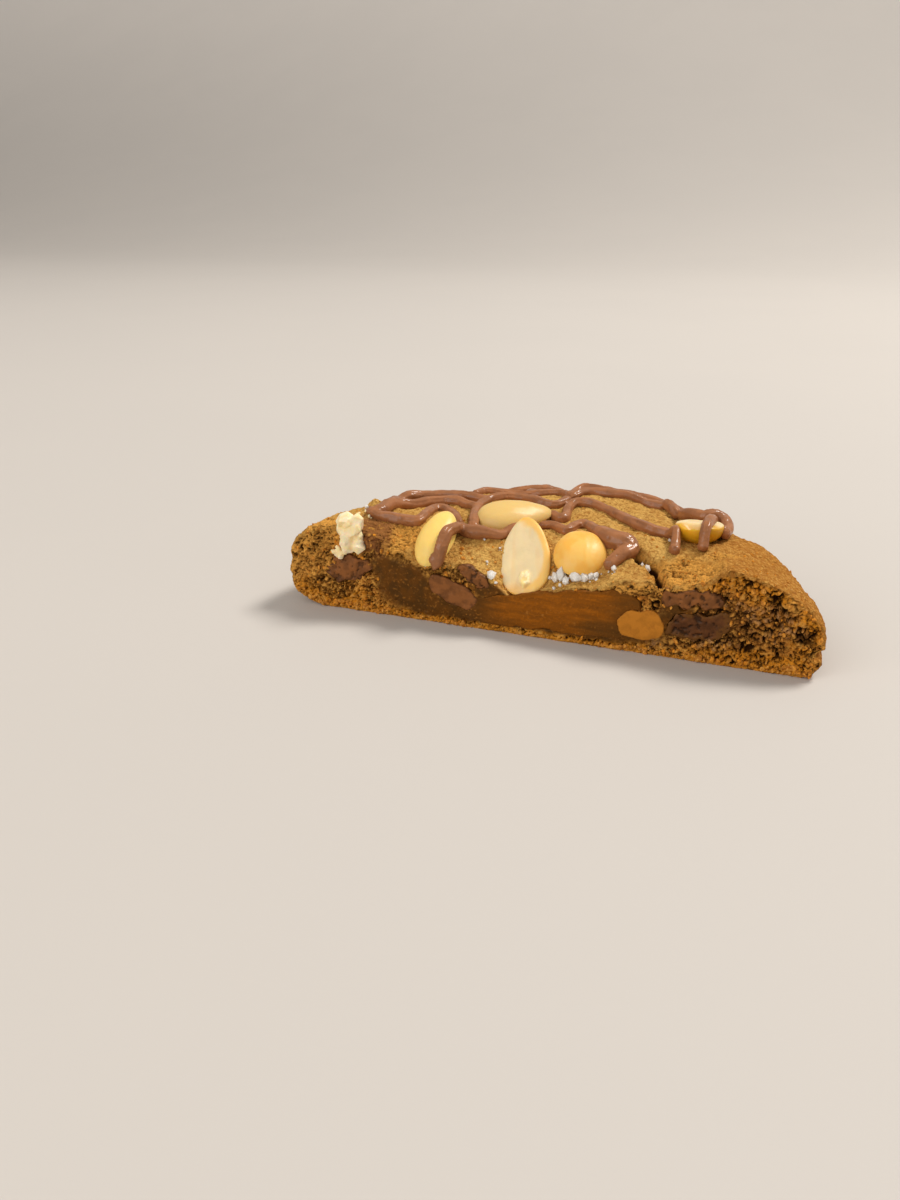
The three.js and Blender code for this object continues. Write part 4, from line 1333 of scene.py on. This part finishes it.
class CookieCrumbs(bpy.types.Operator):
    """Loose crumbs that cling to the cut and lie on the crown"""

    bl_idname = "cookie.crumbs"
    bl_label = "Crumbs"

    def execute(self, context):
        AT_CUT = 1000  # places that are tried for a crumb at the cut
        LOW = 0.4  # share of them that is close to the base
        ON_TOP = 160  # places that are tried on top
        size = context.scene.cookie_sizes.crumb / MM
        tree = ground_tree(["baked_dough"])
        crumbs = Shards(8)
        rng = crumbs.rng
        for _ in range(AT_CUT):
            x, z = rng.uniform(-52, 52), rng.uniform(0.4, 17)
            if rng.random() < LOW:
                z = rng.uniform(0.4, 1.8)
            hit = tree.ray_cast((Vector((x, -9, z)) + PLACE) * MM, Vector((0, 1, 0)))[0]
            if hit is None or patches(x, z, MOIST) > 0.3 and rng.random() < 0.9:
                continue
            place = hit / MM - PLACE
            if place.y < 6 and not any(inset_share(inset, x, z) < 0.95 for inset in INSETS.values()):
                crumbs.add(place, size * (0.25 + 0.75 * rng.random() ** 3), 0.4)
        for _ in range(ON_TOP):
            x, y = rng.uniform(-50, 50), abs(rng.gauss(0, 14)) + 0.8
            if math.hypot(x, y) < 0.94 * RADIUS:
                crumbs.add(Vector((x, y, ground(tree, x, y))), size * rng.uniform(0.25, 0.6), 0.5)
        piece = crumbs.join("loose_crumbs")
        settle(piece, crumb_material(context.scene.cookie_colours), "baked_dough", "cookie_dough")
        bpy.ops.object.shade_flat()
        return {"FINISHED"}


# Stage

def area_light(name, place, size, power, tint):
    """A square light that shines at the cookie"""
    lamp = linked(name, bpy.data.lights.new(name, "AREA"))
    lamp.data.size = size
    lamp.data.energy = power
    lamp.data.color = tint
    lamp.location = place
    lamp.rotation_euler = (-Vector(place)).to_track_quat("-Z", "Y").to_euler()


def floor_material(colours):
    floor = Finish("pale floor")
    shade = floor.layers(
        colours.floor,
        # painted light: the backdrop grows lighter up to 900 mm, where the lamps light it less than the
        # floor
        (floor.span(floor.axes()[2], 0.0, 900.0), 1, toned(colours.floor, 1.6)),
        (floor.blotches(160.0), 0.02, (0.3, 0.3, 0.3)),
    )
    return floor.feed(colour=shade, roughness=0.75)


class CookieStage(bpy.types.Operator):
    """The floor, the lights and the camera"""

    bl_idname = "cookie.stage"
    bl_label = "Stage"

    def execute(self, context):
        WALL = 5  # height of the backdrop, in metres
        BEND = 2  # how far ahead of it the floor starts to rise
        EYE = Vector((42.9, -163.5, 79.7))  # where the camera is, in millimetres
        DOWN, ASIDE = 23, 20.24  # how far it looks down and is turned, in degrees
        deselect_all()
        bpy.ops.mesh.primitive_plane_add(size=12, location=(0, -3, 0))
        floor = named("floor")
        mode("EDIT")
        bpy.ops.mesh.select_all(action="DESELECT")
        bpy.ops.mesh.select_mode(type="EDGE")
        mode("OBJECT")
        for edge in floor.data.edges:
            edge.select = all(floor.data.vertices[i].co.y > 0 for i in edge.vertices)
        mode("EDIT")
        bpy.ops.mesh.extrude_region_move(TRANSFORM_OT_translate={"value": (0, 0, WALL)})
        mode("OBJECT")
        floor.data.transform(Matrix.Translation(floor.location))
        floor.location = (0, 0, 0)
        bevel = floor.modifiers.new("Bend", "BEVEL")
        bevel.width = BEND
        bevel.segments = 24
        bpy.ops.object.shade_smooth()
        floor.data.materials.append(floor_material(context.scene.cookie_colours))

        area_light("key", (0.8, 0.8, 1.65), 0.6, 35, (1, 0.97, 0.93))
        area_light("fill", (-0.9, -1.5, 0.9), 1.6, 18.5, (1, 0.98, 0.96))
        world = bpy.data.worlds.new("studio")
        world.use_nodes = True
        background = world.node_tree.nodes["Background"].inputs
        background["Color"].default_value = (1, 0.975, 0.95, 1)
        background["Strength"].default_value = 0.46
        context.scene.world = world

        camera = linked("camera", bpy.data.cameras.new("camera"))
        camera.location = (EYE + PLACE) * MM
        camera.rotation_euler = (math.radians(90 - DOWN), 0, math.radians(ASIDE))
        camera.data.sensor_width = 36
        camera.data.lens = 28.5
        camera.data.clip_start = 0.01
        context.scene.camera = camera
        context.scene.view_settings.view_transform = "Standard"
        return {"FINISHED"}


class CookiePanel(bpy.types.Panel):
    """The cookie's pieces, in the order in which they are made"""

    bl_idname = "VIEW3D_PT_cookie"
    bl_label = "Cookie"
    bl_space_type = "VIEW_3D"
    bl_region_type = "UI"
    bl_category = "Cookie"

    def draw(self, context):
        for operator in OPERATORS:
            self.layout.operator(operator.bl_idname)
        for group in (context.scene.cookie_sizes, context.scene.cookie_colours):
            box = self.layout.box()
            for name in group.bl_rna.properties.keys()[2:]:  # the first two are Blender's own
                box.prop(group, name)


OPERATORS = (
    CookieStage,
    CookieDough,
    CookieFilling,
    CookieLumps,
    CookiePeanuts,
    CookieCrushedPeanuts,
    CookieDrizzle,
    CookieSalt,
    CookieCrumbs,
)
CLASSES = (CookieSizes, CookieColours, *OPERATORS, CookiePanel)


def register():
    for cls in CLASSES:
        bpy.utils.register_class(cls)
    bpy.types.Scene.cookie_sizes = bpy.props.PointerProperty(type=CookieSizes)
    bpy.types.Scene.cookie_colours = bpy.props.PointerProperty(type=CookieColours)


def unregister():
    del bpy.types.Scene.cookie_colours
    del bpy.types.Scene.cookie_sizes
    for cls in reversed(CLASSES):
        bpy.utils.unregister_class(cls)


def main():
    register()
    bpy.ops.cookie.stage()
    bpy.ops.cookie.dough()
    bpy.ops.cookie.filling()
    bpy.ops.cookie.lumps()
    bpy.ops.cookie.peanuts()
    bpy.ops.cookie.crushed_peanuts()
    bpy.ops.cookie.drizzle()
    bpy.ops.cookie.salt()
    bpy.ops.cookie.crumbs()


if __name__ == "__main__":
    main()
